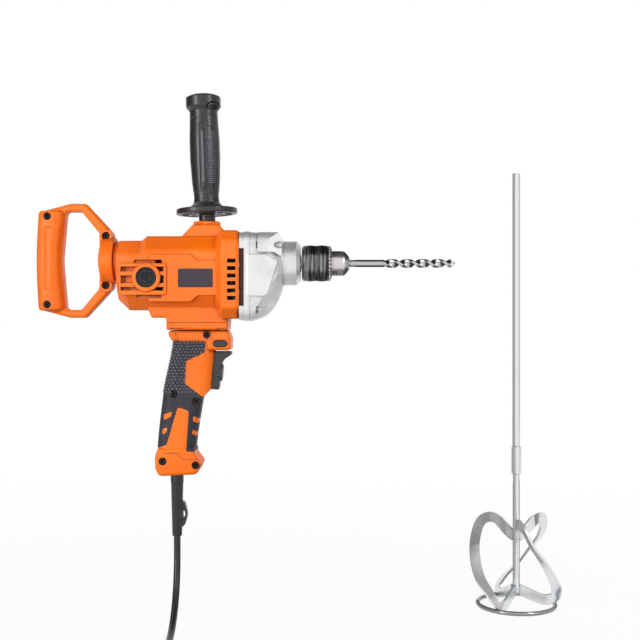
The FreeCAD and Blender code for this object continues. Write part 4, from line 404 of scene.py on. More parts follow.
# Zinc plated steel of the paddle, brushed along its length: pale and silky, greyer along its edges, partly
# wear and partly a painted dark reflection.
ZINC_PLATE = WorkedMetal("zinc_plated_steel", "#E6E8EA", 0.27, 1.0, edge_wear_and_sheen="#7C7E81", edge_wear_and_sheen_share=0.8,
                         shade="#BEC0C3", relief_mm=0.003, line_mm=0.9, along=Axis.Z, across=False)
# Drawn and plated wire: greyer than the sheet, a painted dark reflection, so that the ring reads as a line
# under the blades.
PLATED_WIRE = WorkedMetal("plated_drawn_wire", "#A4A6A9", 0.2, 1.0, edge_mm=0.3, edge_wear_and_sheen="#D8DADC",
                          edge_wear_and_sheen_share=0.2, shade="#6E7073", relief_mm=0.003, line_mm=0.9)
# Stacked steel sheets of the motor cores: dull grey, ruled by the sheets' edges.
LAMINATION = WorkedMetal("core_sheets", "#8A8A8C", 0.4, 1.0, relief_mm=0.03, line_mm=0.5)
# Enamelled winding wire and the copper bars: warm red brown, combed by the strands.
COPPER = WorkedMetal("winding_copper", "#C06A38", 0.32, 1.0, shade="#7A3C1C", relief_mm=0.05, line_mm=0.6)
# Drawn brass of bushes and brush holders: yellow, with fine lines from the die.
BRASS = WorkedMetal("drawn_brass", "#C9A35A", 0.3, 1.0, shade="#8E6C30")
# Pressed carbon of the brushes: matt grey black and fine grained.
CARBON = MouldedPlastic("pressed_carbon", "#2B2B2C", 0.6, edge_wear_and_sheen="#555555", edge_wear_and_sheen_share=0.3, grain_mm=0.4)
# Black vinyl sheath of the lead, extruded: smooth and a little glossy.
CORD_VINYL = MouldedPlastic("cord_vinyl", "#1A1A1C", 0.22, edge_mm=0.3, edge_wear_and_sheen="#4A4A4C", edge_wear_and_sheen_share=0.3,
                            shade="#161617", shade_share=0.4, relief_mm=0.03, grain_mm=0.6)
# Bare dark plate film: smooth, with a faint purple haze.
PLATE_FILM = MouldedPlastic("smoked_plate_film", "#443D45", 0.42, specular=0.1, edge_mm=0.2, edge_wear_and_sheen="#8A878C",
                            edge_wear_and_sheen_share=0.5, shade="#373139", shade_share=0.5, relief_mm=0.01, grain_mm=0.3)

SLOT_FINISHES: dict[str, Finish] = {
    "orange_plastic": ORANGE_ABS, "black_plastic": BLACK_NYLON, "soft_cover": SOFT_COVER,
    "cast_aluminium": CAST_ALUMINIUM, "dark_plate": DARK_PLATE, "steel": TURNED_STEEL,
    "bright_steel": GROUND_STEEL, "black_steel": BLACK_OXIDE, "lamination": LAMINATION, "copper": COPPER,
    "brass": BRASS, "carbon": CARBON, "cord_rubber": CORD_VINYL, "plate_film": PLATE_FILM,
    "galvanised": ZINC_PLATE,
}
NODE_FINISHES: dict[str, Finish] = {"brush_caps": BLACK_PHENOLIC, "paddle_ring": PLATED_WIRE}


def placed(name: str, data: bpy.types.ID) -> bpy.types.Object:
    """Puts new data into the scene as an object.

    Args:
        name: the object's name.
        data: its mesh, curve, light or camera.

    Returns:
        The object, at the origin.
    """
    thing = bpy.data.objects.new(name, data)
    bpy.context.scene.collection.objects.link(thing)
    return thing


def dress(piece: bpy.types.Object, finish: Finish) -> None:
    """Gives a piece one finish in all its material slots.

    Args:
        piece: a mesh or curve object.
        finish: the finish it gets.
    """
    if piece.material_slots:
        for slot in piece.material_slots:
            slot.material = finish.material()
    else:
        piece.data.materials.append(finish.material())


def new_piece(name: str, data: bpy.types.ID, body: str, slot: str, replaced: Sequence[str] = (),
              finish: Finish | None = None) -> bpy.types.Object:
    """Puts new mesh or curve data into the scene as a dressed piece that rides on a body.

    Args:
        name: the piece's name.
        data: its mesh or curve, placed in the frame.
        body: the CAD body that carries it.
        slot: the record's material slot.
        replaced: CAD nodes that it stands for.
        finish: its own finish, where the slot's isn't the one.

    Returns:
        The piece.
    """
    piece = placed(name, data)
    dress(piece, finish or SLOT_FINISHES[slot])
    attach(piece, body)
    if replaced:
        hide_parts(*replaced)
    log.info("%s rides on %s", name, body)
    return piece


def carried_nodes() -> None:
    """Dresses every CAD node in its own finish, or else in that of its record slot."""
    for row in frame["record"]["subparts"]:
        node = row["node"]
        dress(frame["nodes"][node], NODE_FINISHES.get(node, SLOT_FINISHES[row["material_slot"]]))


def merged_form(*nodes: str) -> bmesh.types.BMesh:
    """Copies CAD nodes into one form and merges their doubles.

    Args:
        nodes: the nodes' names.

    Returns:
        The form, which its user frees.
    """
    form = bmesh.new()
    for node in nodes:
        form.from_mesh(frame["nodes"][node].data)
    bmesh.ops.remove_doubles(form, verts=form.verts, dist=WELD)
    return form


def kept_mesh(name: str, form: bmesh.types.BMesh) -> bpy.types.Mesh:
    """Writes a form into a new mesh and frees it.

    Args:
        name: the mesh's name.
        form: the finished form.

    Returns:
        The mesh.
    """
    mesh = bpy.data.meshes.new(name)
    form.to_mesh(mesh)
    form.free()
    return mesh


def islands(node: str) -> list[tuple[Vector, Vector]]:
    """Finds the separate solids of a CAD node.

    Args:
        node: the node's name.

    Returns:
        The lowest and highest corner of each, in metres.
    """
    form = merged_form(node)
    left = set(form.verts)
    boxes = []
    while left:
        reached = [left.pop()]
        for vert in reached:
            found = {edge.other_vert(vert) for edge in vert.link_edges} & left
            left -= found
            reached.extend(found)
        places = [v.co for v in reached]
        boxes.append((Vector([min(p[k] for p in places) for k in range(3)]),
                      Vector([max(p[k] for p in places) for k in range(3)])))
    form.free()
    return sorted(boxes, key=lambda pair: tuple(round(c, SORT_DIGITS) for c in pair[0]))


class NodeForm:
    """A Geometry Nodes tree that is written in the script, run once and kept as a plain mesh."""

    def __init__(self, name: str) -> None:
        """Starts a tree with one geometry input and one geometry output.

        Args:
            name: the tree's name.
        """
        self.name = name
        self.tree = bpy.data.node_groups.new(name, "GeometryNodeTree")
        for way in ("INPUT", "OUTPUT"):
            self.tree.interface.new_socket("Geometry", in_out=way, socket_type="NodeSocketGeometry")
        self.start = self.add("NodeGroupInput")
        self.values: dict[str, object] = {}

    def add(self, kind: str, inputs: dict | None = None, **settings) -> bpy.types.Node:
        """Adds a node to this tree, as add_node does."""
        return add_node(self.tree, kind, inputs, **settings)

    def first(self, kind: str, inputs: dict | None = None, **settings) -> Socket:
        """Adds a node to this tree and gives its first output."""
        return self.add(kind, inputs, **settings).outputs[0]

    def size(self, name: str, value: float | int | bpy.types.Object) -> Socket:
        """Adds a named input for one size, count or helper object.

        Args:
            name: what the input is called.
            value: what the modifier sets it to.

        Returns:
            The socket to link from.
        """
        kinds = {int: "NodeSocketInt", float: "NodeSocketFloat", bpy.types.Object: "NodeSocketObject"}
        socket = self.tree.interface.new_socket(name, in_out="INPUT", socket_type=kinds[type(value)])
        self.values[socket.identifier] = value
        return self.start.outputs[name]

    def landed(self, points: Socket, start: Socket, out: Socket, target: Socket, reach: float) -> Socket:
        """Moves points to their starts, sends a ray back from each, and moves it to where the ray lands.

        Args:
            points: geometry with the points.
            start: where each ray starts.
            out: the direction that each ray comes back against.
            target: the geometry that the rays meet.
            reach: the longest ray in metres.

        Returns:
            The moved points, with the target's normal kept as out and a flag named landed.
        """
        back = self.first("ShaderNodeVectorMath", {0: out, "Scale": -1.0}, operation="SCALE")
        aimed = self.first("GeometryNodeStoreNamedAttribute",
                           {"Geometry": points, "Name": "ray", "Value": back},
                           data_type="FLOAT_VECTOR", domain="POINT")
        around = self.first("GeometryNodeSetPosition", {"Geometry": aimed, "Position": start})
        ray = self.first("GeometryNodeInputNamedAttribute", {"Name": "ray"}, data_type="FLOAT_VECTOR")
        cast = self.add("GeometryNodeRaycast", {"Target Geometry": target, "Ray Direction": ray,
                                                "Ray Length": reach})
        known = self.first("GeometryNodeStoreNamedAttribute",
                           {"Geometry": around, "Name": "out", "Value": cast.outputs["Hit Normal"]},
                           data_type="FLOAT_VECTOR", domain="POINT")
        flag = self.first("GeometryNodeStoreNamedAttribute",
                          {"Geometry": known, "Name": "landed", "Value": cast.outputs["Is Hit"]},
                          data_type="BOOLEAN", domain="POINT")
        return self.first("GeometryNodeSetPosition",
                          {"Geometry": flag, "Position": cast.outputs["Hit Position"]})

    def run(self, geometry: Socket, finish: Finish, points: Sequence[Vector] = ()) -> bpy.types.Mesh:
        """Ends the tree, runs it on some points and keeps the result.

        Args:
            geometry: the last socket of the tree's own nodes.
            finish: the finish of the new faces.
            points: where the tree's input has its vertices.

        Returns:
            A plain mesh.
        """
        real = self.first("GeometryNodeRealizeInstances", {0: geometry})
        dressed = self.first("GeometryNodeSetMaterial", {0: real, "Material": finish.material()})
        self.add("NodeGroupOutput", {0: dressed})
        seed = bpy.data.meshes.new(self.name)
        seed.from_pydata([tuple(p) for p in points], [], [])
        holder = placed(self.name, seed)
        modifier = holder.modifiers.new(self.name, "NODES")
        modifier.node_group = self.tree
        for identifier, value in self.values.items():
            modifier[identifier] = value
        ready = holder.evaluated_get(bpy.context.evaluated_depsgraph_get())
        mesh = bpy.data.meshes.new_from_object(ready)
        bpy.data.objects.remove(holder)
        log.info("%s has %d faces", self.name, len(mesh.polygons))
        return mesh


@dataclass
class SocketScrews:
    """Screws with a hexagon socket, one head in each recess, for one CAD node. Sizes are in millimetres."""

    node: str
    body: str
    slot: str
    facing: Axis
    sign: int
    segments: int = 24
    chamfer: float = 0.45
    socket_share: float = 0.52
    socket_depth_share: float = 0.75
    lip_width: float = 0.2
    lip_depth: float = 0.25
    head: float = 2.6
    buried: float = 2.0

    def build(self) -> None:
        """Puts one head on each screw of the node, as a piece that stands for it."""
        boxes = islands(self.node)
        axis = self.facing.value
        points = []
        for low, high in boxes:
            place = (low + high) / 2
            place[axis] = high[axis] if self.sign > 0 else low[axis]
            points.append(place)
        side = (axis + 1) % 3
        radius = (boxes[0][1][side] - boxes[0][0][side]) / 2
        sample = placed("screw_sample", self.head_mesh(radius / MM))
        form = NodeForm(self.node + "_heads")
        shape = form.add("GeometryNodeObjectInfo", {"Object": form.size("Screw", sample)})
        out = [0.0, 0.0, 0.0]
        out[axis] = float(self.sign)
        turned = form.first("FunctionNodeAlignRotationToVector", {"Vector": out}, axis="Z")
        heads = form.first("GeometryNodeInstanceOnPoints",
                           {"Points": form.start.outputs[0], "Instance": shape.outputs["Geometry"],
                            "Rotation": turned})
        mesh = form.run(heads, BLACK_PHOSPHATE, points)
        bpy.data.objects.remove(sample)
        new_piece(self.node + "_heads", mesh, self.body, self.slot, [self.node], BLACK_PHOSPHATE)

    def head_mesh(self, radius: float) -> bpy.types.Mesh:
        """Turns one head with its socket, top at the origin and facing up.

        Args:
            radius: the head's radius in millimetres.

        Returns:
            The head's mesh in metres.
        """
        form = bmesh.new()
        flat = radius * self.socket_share * math.cos(SIXTH_TURN / 2)
        hexagon = [flat / math.cos((k * 2 * math.pi / self.segments) % SIXTH_TURN - SIXTH_TURN / 2)
                   for k in range(self.segments)]
        rows = [([radius] * self.segments, -self.head - self.buried),
                ([radius] * self.segments, -self.chamfer),
                ([radius - self.chamfer] * self.segments, 0.0),
                ([reach + self.lip_width for reach in hexagon], 0.0),
                (hexagon, -self.lip_depth),
                (hexagon, -self.socket_depth_share * self.head)]
        loops = [self.ring(form, reaches, height) for reaches, height in rows]
        for outer, inner in zip(loops, loops[1:]):
            for k in range(self.segments):
                nxt = (k + 1) % self.segments
                form.faces.new((outer[k], outer[nxt], inner[nxt], inner[k]))
        form.faces.new(loops[-1])
        form.faces.new(list(reversed(loops[0])))
        bmesh.ops.recalc_face_normals(form, faces=form.faces)
        return kept_mesh("screw_head", form)

    def ring(self, form: bmesh.types.BMesh, reaches: Sequence[float],
             height: float) -> list[bmesh.types.BMVert]:
        """Adds one ring of vertices.

        Args:
            form: the mesh that is being made.
            reaches: the radius of each vertex in millimetres.
            height: the ring's height in millimetres.

        Returns:
            The vertices in order.
        """
        step = 2 * math.pi / self.segments
        spots = [(reach * math.cos(k * step) * MM, reach * math.sin(k * step) * MM, height * MM)
                 for k, reach in enumerate(reaches)]
        return [form.verts.new(spot) for spot in spots]


@dataclass
class BrushShields:
    """Moulded walls inside the housing, behind the slots round the brushes. Sizes are in millimetres."""

    back: float = 30.0
    front: float = 8.5
    low: float = 19.0
    high: float = 20.0
    inside: float = 30.0
    wall: float = 1.2
    rounding: float = 0.3
    rounding_steps: int = 2
    round_profile: float = 0.5

    def build(self) -> None:
        """Makes one wall on each side of the motor, set out from the middle of the brush cap."""
        form = bmesh.new()
        sides = Vector((self.back + self.front, self.wall, self.low + self.high)) * MM
        for low, high in islands("brush_caps"):
            middle = (low + high) / 2
            middle.x += (self.front - self.back) / 2 * MM
            middle.y = math.copysign((self.inside + self.wall / 2) * MM, middle.y)
            middle.z += (self.high - self.low) / 2 * MM
            bmesh.ops.create_cube(form, size=1.0, matrix=Matrix.LocRotScale(middle, None, sides))
        bmesh.ops.bevel(form, geom=form.edges[:], offset=self.rounding * MM, segments=self.rounding_steps,
                        profile=self.round_profile, affect="EDGES")
        new_piece("brush_shields", kept_mesh("brush_shields", form), "tool", "orange_plastic")


@dataclass
class SoftCover:
    """Raised diamonds moulded into the soft cover, round the back and sides of the grip, in millimetres."""

    top: Pair = (-114.0, -92.6)
    foot: Pair = (-121.0, -149.0)
    reach: float = 46.0
    ray_share: float = 0.8
    rows: int = 17
    columns: int = 34
    sweep: float = 330.0
    corners: int = 4
    half_width: float = 1.7
    crown_share: float = 0.45
    height: float = 1.0

    def build(self) -> None:
        """Sends a ray to the cover from each point of a staggered grid and sets a diamond where it lands."""
        merged = placed("node_copy", kept_mesh("node_copy", merged_form("overmould_left", "overmould_right")))
        form = NodeForm("cover_diamonds")
        rows = form.size("Rows", self.rows)
        columns = form.size("Columns", self.columns)
        reach = form.size("Reach", self.reach * MM)
        sweep = form.size("Sweep", math.radians(self.sweep))
        cover = form.add("GeometryNodeObjectInfo", {"Object": form.size("Cover", merged)}).outputs["Geometry"]
        grid = form.first("GeometryNodeMeshGrid", {"Size X": 1.0, "Size Y": 1.0, "Vertices X": columns,
                                                   "Vertices Y": rows})
        place = form.add("ShaderNodeSeparateXYZ", {0: form.first("GeometryNodeInputPosition")})
        down = form.first("ShaderNodeMath", {0: place.outputs["Y"], 1: 0.5}, operation="ADD")
        gaps = form.first("ShaderNodeMath", {0: rows, 1: 1.0}, operation="SUBTRACT")
        count = form.first("ShaderNodeMath", {0: down, 1: gaps}, operation="MULTIPLY")
        row = form.first("ShaderNodeMath", {0: count}, operation="ROUND")
        odd = form.first("ShaderNodeMath", {0: row, 1: 2.0}, operation="MODULO")
        half = form.first("ShaderNodeMath", {0: odd, 1: 0.5}, operation="MULTIPLY")
        shift = form.first("ShaderNodeMath", {0: half, 1: columns}, operation="DIVIDE")
        share = form.first("ShaderNodeMath", {0: place.outputs["X"], 1: shift}, operation="ADD")
        angle = form.first("ShaderNodeMath", {0: share, 1: sweep}, operation="MULTIPLY")
        turn = form.first("ShaderNodeMath", {0: angle, 1: math.pi}, operation="ADD")
        out = form.first("ShaderNodeCombineXYZ",
                         {"X": form.first("ShaderNodeMath", {0: turn}, operation="COSINE"),
                          "Y": form.first("ShaderNodeMath", {0: turn}, operation="SINE")})
        middle = form.add("ShaderNodeMix", {0: down, 4: (self.top[0] * MM, 0.0, self.top[1] * MM),
                                            5: (self.foot[0] * MM, 0.0, self.foot[1] * MM)},
                          data_type="VECTOR")
        away = form.first("ShaderNodeVectorMath", {0: out, "Scale": reach}, operation="SCALE")
        start = form.first("ShaderNodeVectorMath", {0: middle.outputs[1], 1: away}, operation="ADD")
        landed = form.landed(grid, start, out, cover, self.reach * self.ray_share * MM)
        self.set_diamonds(form, landed)
        bpy.data.objects.remove(merged)

    def set_diamonds(self, form: NodeForm, landed: Socket) -> None:
        """Ends the tree with a diamond on each point that landed, and makes the piece.

        Args:
            form: the tree.
            landed: the points on the cover, with their normals and flags.
        """
        diamond = form.add("GeometryNodeMeshCone",
                           {"Vertices": self.corners, "Radius Top": self.half_width * self.crown_share * MM,
                            "Radius Bottom": self.half_width * MM, "Depth": self.height * MM})
        normal = form.first("GeometryNodeInputNamedAttribute", {"Name": "out"}, data_type="FLOAT_VECTOR")
        upright = form.first("FunctionNodeAlignRotationToVector", {"Vector": normal}, axis="Z")
        hit = form.first("GeometryNodeInputNamedAttribute", {"Name": "landed"}, data_type="BOOLEAN")
        diamonds = form.first("GeometryNodeInstanceOnPoints",
                              {"Points": landed, "Selection": hit, "Instance": diamond.outputs["Mesh"],
                               "Rotation": upright})
        # The diamonds are paler than the cover: a painted highlight.
        mesh = form.run(diamonds, PAINTED_HIGHLIGHT_COVER)
        new_piece("cover_diamonds", mesh, "tool", "soft_cover", finish=PAINTED_HIGHLIGHT_COVER)


@dataclass
class SideHandle:
    """Cross ribs of the side handle's sunk panels and a line along the crest of its long rib, both pale grey
    as painted highlights, in millimetres.
    """

    foot: Pair = (-99.0, 48.5)
    lean: float = 1.9
    reach: float = 30.0
    first: float = 44.5
    last: float = 103.5
    count: int = 29
    faces: Pair = (0.0, 180.0)
    steps: int = 8
    middle: float = -59.0
    half_sweep: float = 15.6
    crest_steps: int = 2
    crest_middle: float = -93.0
    crest_half_sweep: float = 1.7
    wire: float = 0.6
    wire_sides: int = 8
    # A grid point's neighbour along Y is one index away, and its neighbour along X is further.
    index_step: float = 1.5

    def build(self) -> None:
        """Builds the ribs and the painted highlight line along the crest, each on both faces of the handle.
        """
        self.build_lines("handle_ribs", self.steps, self.middle, self.half_sweep, "LESS_THAN")
        self.build_lines("handle_crest", self.crest_steps, self.crest_middle, self.crest_half_sweep,
                         "GREATER_THAN")

    def build_lines(self, name: str, steps: int, middle: float, half_sweep: float, kept: str) -> None:
        """Lays lines on both faces of the handle and sweeps a wire along them.

        Args:
            name: the piece's name.
            steps: points across one face.
            middle: the middle of the lines about the handle, in degrees.
            half_sweep: how far they reach to each side of it.
            kept: LESS_THAN keeps the lines across the handle, GREATER_THAN those along it.
        """
        merged = placed("node_copy", kept_mesh("node_copy", merged_form("side_handle_grip")))
        form = NodeForm(name)
        grid = form.first("GeometryNodeMeshGrid",
                          {"Size X": 1.0, "Size Y": 1.0, "Vertices Y": form.size("Steps", steps),
                           "Vertices X": form.size("Count", self.count)})
        source = form.add("GeometryNodeObjectInfo", {"Object": form.size("Handle", merged)})
        handle = source.outputs["Geometry"]
        wire = form.first("GeometryNodeCurvePrimitiveCircle",
                          {"Resolution": self.wire_sides, "Radius": form.size("Wire", self.wire * MM)})
        sweep = form.size("Sweep", 2 * math.radians(half_sweep))
        both = form.add("GeometryNodeJoinGeometry")
        for turned in self.faces:
            landed = self.dropped(form, grid, handle, math.radians(middle + turned), sweep)
            ends = form.add("GeometryNodeInputMeshEdgeVertices")
            apart = form.first("ShaderNodeMath", {0: ends.outputs[0], 1: ends.outputs[1]},
                               operation="SUBTRACT")
            step = form.first("ShaderNodeMath", {0: apart}, operation="ABSOLUTE")
            along = form.first("FunctionNodeCompare", {0: step, 1: self.index_step}, operation=kept)
            lines = form.first("GeometryNodeMeshToCurve", {"Mesh": landed, "Selection": along})
            rib = form.first("GeometryNodeCurveToMesh", {"Curve": lines, "Profile Curve": wire,
                                                         "Fill Caps": True})
            form.tree.links.new(rib, both.inputs[0])
        # The ribs and the crest line are pale grey on the black handle: painted highlights.
        mesh = form.run(both.outputs[0], PAINTED_HIGHLIGHT_NYLON)
        bpy.data.objects.remove(merged)
        new_piece(name, mesh, "tool", "black_plastic", finish=PAINTED_HIGHLIGHT_NYLON)

    def dropped(self, form: NodeForm, grid: Socket, handle: Socket, middle: float, sweep: Socket) -> Socket:
        """Drops a grid of points on one face of the handle.

        Args:
            form: the tree.
            grid: a unit grid that runs up the handle along X and round it along Y.
            handle: the handle's geometry.
            middle: the middle of the points about the handle, in radians.
            sweep: the angle that they cover.

        Returns:
            The grid where it landed.
        """
        place = form.add("ShaderNodeSeparateXYZ", {0: form.first("GeometryNodeInputPosition")})
        turn = form.first("ShaderNodeMath", {0: place.outputs["Y"], 1: sweep, 2: middle},
                          operation="MULTIPLY_ADD")
        height = form.first("ShaderNodeMath", {0: place.outputs["X"], 1: (self.last - self.first) * MM,
                                               2: (self.last + self.first) / 2 * MM},
                            operation="MULTIPLY_ADD")
        out = form.first("ShaderNodeCombineXYZ",
                         {"X": form.first("ShaderNodeMath", {0: turn}, operation="COSINE"),
                          "Y": form.first("ShaderNodeMath", {0: turn}, operation="SINE")})
        level = form.first("ShaderNodeCombineXYZ", {"Z": height})
        away = form.first("ShaderNodeVectorMath", {0: out, 1: [self.reach * MM] * 3, 2: level},
                          operation="MULTIPLY_ADD")
        leaning = {"Axis": (0.0, 1.0, 0.0), "Angle": math.radians(-self.lean)}
        stood = form.first("ShaderNodeVectorRotate", {"Vector": away, **leaning})
        start = form.first("ShaderNodeVectorMath", {0: stood, 1: (self.foot[0] * MM, 0.0, self.foot[1] * MM)},
                           operation="ADD")
        aim = form.first("ShaderNodeVectorRotate", {"Vector": out, **leaning})
        return form.landed(grid, start, aim, handle, self.reach * MM)


@dataclass
class MainsLead:
    """The lead: it hangs from its guard, reaches the floor and ends in a tied coil with the plug.

    Sizes are in millimetres, apart from the length, which is in metres.
    """

    radius: float = 4.0
    exit_x: float = -134.2
    exit_z: float = -318.1
    hanging: tuple[Point, ...] = ((-134.2, 0.0, -296.1), (-134.2, 0.0, -328.26), (-133.8, -3.4, -360.75),
                                  (-133.3, -20.0, -389.19), (-132.8, -48.0, -410.51))
    lying: tuple[Pair, ...] = ((-132.3, -82.0), (-131.9, -122.0), (-131.6, -160.0))
    level_z: float = -419.65
    coil_centre: Pair = (-74.6, -171.0)
    coil_outer: float = 57.0
    coil_pitch: float = 8.7
    turns_in: float = 3.25
    turns_out: float = 3.0
    climb_turns: float = 0.5
    points_per_turn: int = 24
    tail: float = 45.0
    length: float = 1.965
    smooth_steps: int = 6
    order: int = 3

    def route(self) -> list[Vector]:
        """Lays out the whole lead, from the guard to the plug.

        Returns:
            Its control points in metres.
        """
        free = [*self.hanging, *((x, y, self.level_z) for x, y in self.lying)]
        total = self.turns_in + self.turns_out
        count = round(total * self.points_per_turn)
        wound = [self.coil_point(total * k / count) for k in range(count + 1)]
        end = wound[-1]
        last = (end[0] + self.tail, end[1], end[2])
        return [Vector(p) * MM for p in [*free, *wound, last]]

    def coil_point(self, turns: float) -> Point:
        """Finds a point of the coil, which winds in on the floor, climbs one layer and winds out.

        Args:
            turns: how far along the coil, in turns.

        Returns:
            The point in millimetres.
        """
        wound_in = min(turns, self.turns_in)
        wound_out = max(0.0, turns - self.turns_in)
        radius = self.coil_outer - self.coil_pitch * (wound_in - wound_out)
        climb = (turns - self.turns_in + self.climb_turns / 2) / self.climb_turns
        climb = min(1.0, max(0.0, climb))
        eased = climb * climb * (3 - 2 * climb)
        angle = math.pi + 2 * math.pi * turns
        return (self.coil_centre[0] + radius * math.cos(angle),
                self.coil_centre[1] + radius * math.sin(angle),
                self.level_z + self.coil_pitch * eased)

    def build(self) -> None:
        """Makes the lead as one smooth curve that stands for the hanging and the coiled solids."""
        points = self.route()
        curve = bpy.data.curves.new("mains_lead", "CURVE")
        curve.dimensions = "3D"
        curve.bevel_depth = self.radius * MM
        curve.bevel_resolution = self.smooth_steps
        curve.use_fill_caps = True
        curve.resolution_u = self.smooth_steps
        line = curve.splines.new("NURBS")
        line.points.add(len(points) - 1)
        for spot, place in zip(line.points, points):
            spot.co = (*place, 1.0)
        line.order_u = self.order
        line.use_endpoint_u = True
        lead = new_piece("mains_lead", curve, "tool", "cord_rubber", ["power_cord", "cord_coil"])


def seen_rays(tree: Tree) -> Socket:
    """Adds camera, glossy and transmission rays together.

    Args:
        tree: the node tree that needs them.

    Returns:
        One on those rays and nought on the rest.
    """
    path = add_node(tree, "ShaderNodeLightPath")
    seen = path.outputs["Is Camera Ray"]
    for kind in ("Is Glossy Ray", "Is Transmission Ray"):
        either = add_node(tree, "ShaderNodeMath", {0: seen, 1: path.outputs[kind]}, operation="MAXIMUM")
        seen = either.outputs[0]
    return seen


@dataclass(frozen=True)
class Lamp:
    """A softbox that faces the tool: its place and sides in metres and its power in watts.

    One that is mirrored shows as a bright streak in glossy surfaces.
    """

    name: str
    place: Point
    sides: Pair
    power: float
    mirrored: bool = False
    aim: Point = (-0.02, 0.0, -0.1)

    def build(self) -> None:
        """Makes the lamp and turns it towards the tool."""
        data = bpy.data.lights.new(self.name, "AREA")
        data.shape = "RECTANGLE"
        data.size, data.size_y = self.sides
        data.energy = self.power
        lamp = placed(self.name, data)
        lamp.visible_glossy = self.mirrored
        lamp.location = self.place
        towards = Vector(self.aim) - lamp.location
        lamp.rotation_euler = towards.to_track_quat("-Z", "Y").to_euler()


@dataclass(frozen=True)
class Card:
    """A grey card that mirrored rays meet, which gives bare metal its dark bands. Sizes are in metres.

    Its tone is how bright it looks beside the white round it. One that shades also holds back soft light.
    """

    name: str
    middle: Point
    sides: Pair
    facing: Axis
    tone: float
    shades: bool = False

    def build(self) -> None:
        """Makes the card and its plain material."""
        first, second = (axis.value for axis in Axis if axis is not self.facing)
        corners = []
        for a, b in ((-1, -1), (1, -1), (1, 1), (-1, 1)):
            corner = list(self.middle)
            corner[first] += a * self.sides[0] / 2
            corner[second] += b * self.sides[1] / 2
            corners.append(corner)
        mesh = bpy.data.meshes.new(self.name)
        mesh.from_pydata(corners, [], [(0, 1, 2, 3)])
        made = bpy.data.materials.new(self.name + "_card")
        tree = cleared_tree(made)
        path = add_node(tree, "ShaderNodeLightPath")
        shown = add_node(tree, "ShaderNodeMath", {0: path.outputs["Is Glossy Ray"], 1: self.tone},
                         operation="MULTIPLY")
        grey = add_node(tree, "ShaderNodeEmission", {"Color": WHITE, "Strength": shown.outputs[0]})
        add_node(tree, "ShaderNodeOutputMaterial", {"Surface": grey.outputs[0]})
        mesh.materials.append(made)
        card = placed(self.name, mesh)
        card.visible_camera = False
        card.visible_diffuse = self.shades
        card.visible_shadow = self.shades
        card.visible_transmission = False


LAMPS = (
    Lamp("key_softbox", (-0.45, -1.95, 0.1), (1.2, 1.2), 30.0),
    Lamp("fill_softbox", (1.3, -1.5, 0.0), (1.2, 1.2), 11.0),
    Lamp("rim_softbox", (-1.5, -0.15, 0.05), (0.7, 0.7), 4.0),
    Lamp("back_softbox", (0.3, 2.0, 0.25), (1.5, 1.5), 32.0),
    Lamp("side_softbox", (1.6, 0.2, 0.1), (0.8, 0.8), 8.0),
    Lamp("left_strip", (-1.15, -1.05, 0.1), (0.3, 1.3), 10.0, mirrored=True),
    Lamp("right_strip", (1.1, -1.05, 0.7), (0.22, 0.6), 4.0, mirrored=True),
)
CARDS = (
    Card("flag_above", (0.1, 0.2, 0.62), (1.0, 1.4), Axis.Z, 0.34, shades=True),
    Card("flag_below", (0.05, 0.1, -0.405), (0.3, 0.92), Axis.Z, 0.58),
    Card("flag_chuck_above", (0.0415, 0.1, 0.12), (0.057, 0.36), Axis.Z, 0.05),
    Card("flag_chuck_below", (0.0415, 0.1, -0.12), (0.057, 0.36), Axis.Z, 0.22),
    Card("flag_bit_above", (0.145, 0.1, 0.055), (0.14, 0.26), Axis.Z, 0.04),
    Card("flag_bit_below", (0.145, 0.1, -0.055), (0.14, 0.26), Axis.Z, 0.08),
    Card("flag_between", (0.25, 0.075, -0.13), (0.09, 0.54), Axis.X, 0.42),
    Card("flag_behind", (0.265, 0.1, -0.345), (0.2, 0.15), Axis.Y, 0.3),
    Card("flag_left", (-1.7, 0.5, 0.0), (2.6, 2.4), Axis.X, 0.1),
    Card("flag_right", (1.7, 0.5, 0.0), (2.6, 2.4), Axis.X, 0.62),
)


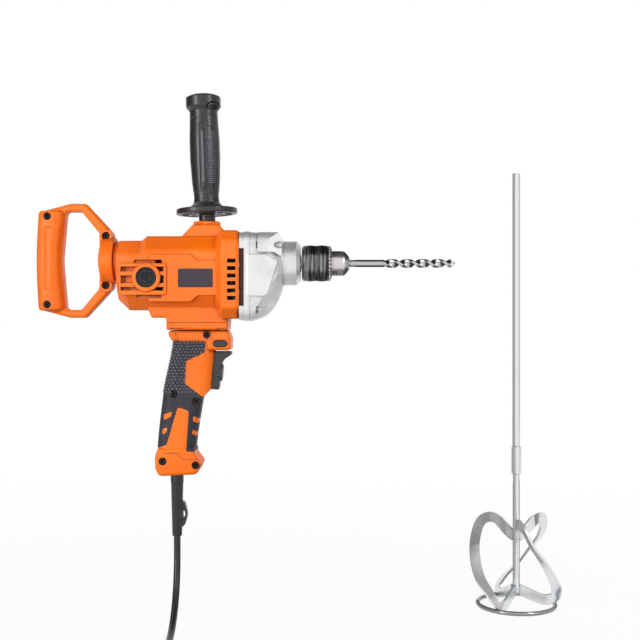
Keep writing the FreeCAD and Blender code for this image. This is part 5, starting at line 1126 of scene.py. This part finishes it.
@dataclass
class Studio:
    """Floor, soft lights and the camera at the photograph's viewing angle. Sizes are in metres."""

    camera_place: Point = (0.0328, -1.228, -0.0661)
    lens_mm: float = 59.06
    sensor_mm: float = 36.0
    daylight: float = 0.07
    floor_radius: float = 9.0
    floor_segments: int = 96
    floor_gap: float = 0.2 * MM
    floor_colour: str = "#F4F4F4"
    near_radius: float = 0.35
    far_radius: float = 1.5
    near_glow: float = 0.92

    def build(self) -> None:
        """Sets up the camera, the world, the floor, the lamps and the cards."""
        bpy.context.scene.view_settings.view_transform = "Standard"
        self.build_camera()
        self.build_world()
        self.build_floor()
        for item in (*LAMPS, *CARDS):
            item.build()

    def build_camera(self) -> None:
        """Makes the camera, level and square to the side of the tool."""
        data = bpy.data.cameras.new("camera")
        data.lens = self.lens_mm
        data.sensor_width = self.sensor_mm
        camera = placed("camera", data)
        camera.location = self.camera_place
        camera.rotation_euler = (math.pi / 2, 0.0, 0.0)
        bpy.context.scene.camera = camera

    def build_world(self) -> None:
        """Makes a plain world: white where it is seen or mirrored, softer where it only lights."""
        world = bpy.data.worlds.new("studio_white")
        tree = cleared_tree(world)
        level = add_node(tree, "ShaderNodeMapRange", {"Value": seen_rays(tree), 3: self.daylight, 4: 1.0})
        light = add_node(tree, "ShaderNodeBackground", {"Color": WHITE, "Strength": level.outputs[0]})
        add_node(tree, "ShaderNodeOutputWorld", {"Surface": light.outputs[0]})
        bpy.context.scene.world = world

    def build_floor(self) -> None:
        """Makes a round pale floor that keeps shadows near the tool and turns white further out."""
        form = bmesh.new()
        bmesh.ops.create_circle(form, cap_ends=True, segments=self.floor_segments, radius=self.floor_radius)
        bmesh.ops.translate(form, verts=form.verts, vec=(0.0, 0.0, CAD_BOX[0].z - self.floor_gap))
        floor = placed("floor", kept_mesh("floor", form))
        made = bpy.data.materials.new("white_floor")
        tree = cleared_tree(made)
        place = add_node(tree, "ShaderNodeTexCoord").outputs["Object"]
        away = add_node(tree, "ShaderNodeVectorMath", {0: place}, operation="LENGTH")
        share = add_node(tree, "ShaderNodeMapRange", {"Value": away.outputs["Value"], 1: self.near_radius,
                                                      2: self.far_radius, 3: 0.0, 4: 1.0},
                         interpolation_type="SMOOTHSTEP")
        part = add_node(tree, "ShaderNodeMapRange", {"Value": share.outputs[0], 3: self.near_glow, 4: 1.0})
        matt = add_node(tree, "ShaderNodeBsdfDiffuse", {"Color": linear(self.floor_colour)})
        glow = add_node(tree, "ShaderNodeEmission", {"Color": WHITE, "Strength": seen_rays(tree)})
        mixed = add_node(tree, "ShaderNodeMixShader", {0: part.outputs[0], 1: matt.outputs[0],
                                                       2: glow.outputs[0]})
        add_node(tree, "ShaderNodeOutputMaterial", {"Surface": mixed.outputs[0]})
        floor.data.materials.append(made)


def main() -> None:
    """Builds the sub-assemblies in order and reports each piece."""
    logging.basicConfig(level=logging.INFO, format="%(message)s")
    Studio().build()
    carried_nodes()
    MainsLead().build()
    SocketScrews("rear_handle_screws", "rear_handle", "black_steel", Axis.Y, -1).build()
    SocketScrews("grip_screws", "tool", "black_steel", Axis.Y, -1).build()
    SocketScrews("case_screws", "tool", "black_steel", Axis.X, 1, head=4.0).build()
    BrushShields().build()
    SoftCover().build()
    SideHandle().build()


if __name__ == "__main__":
    main()
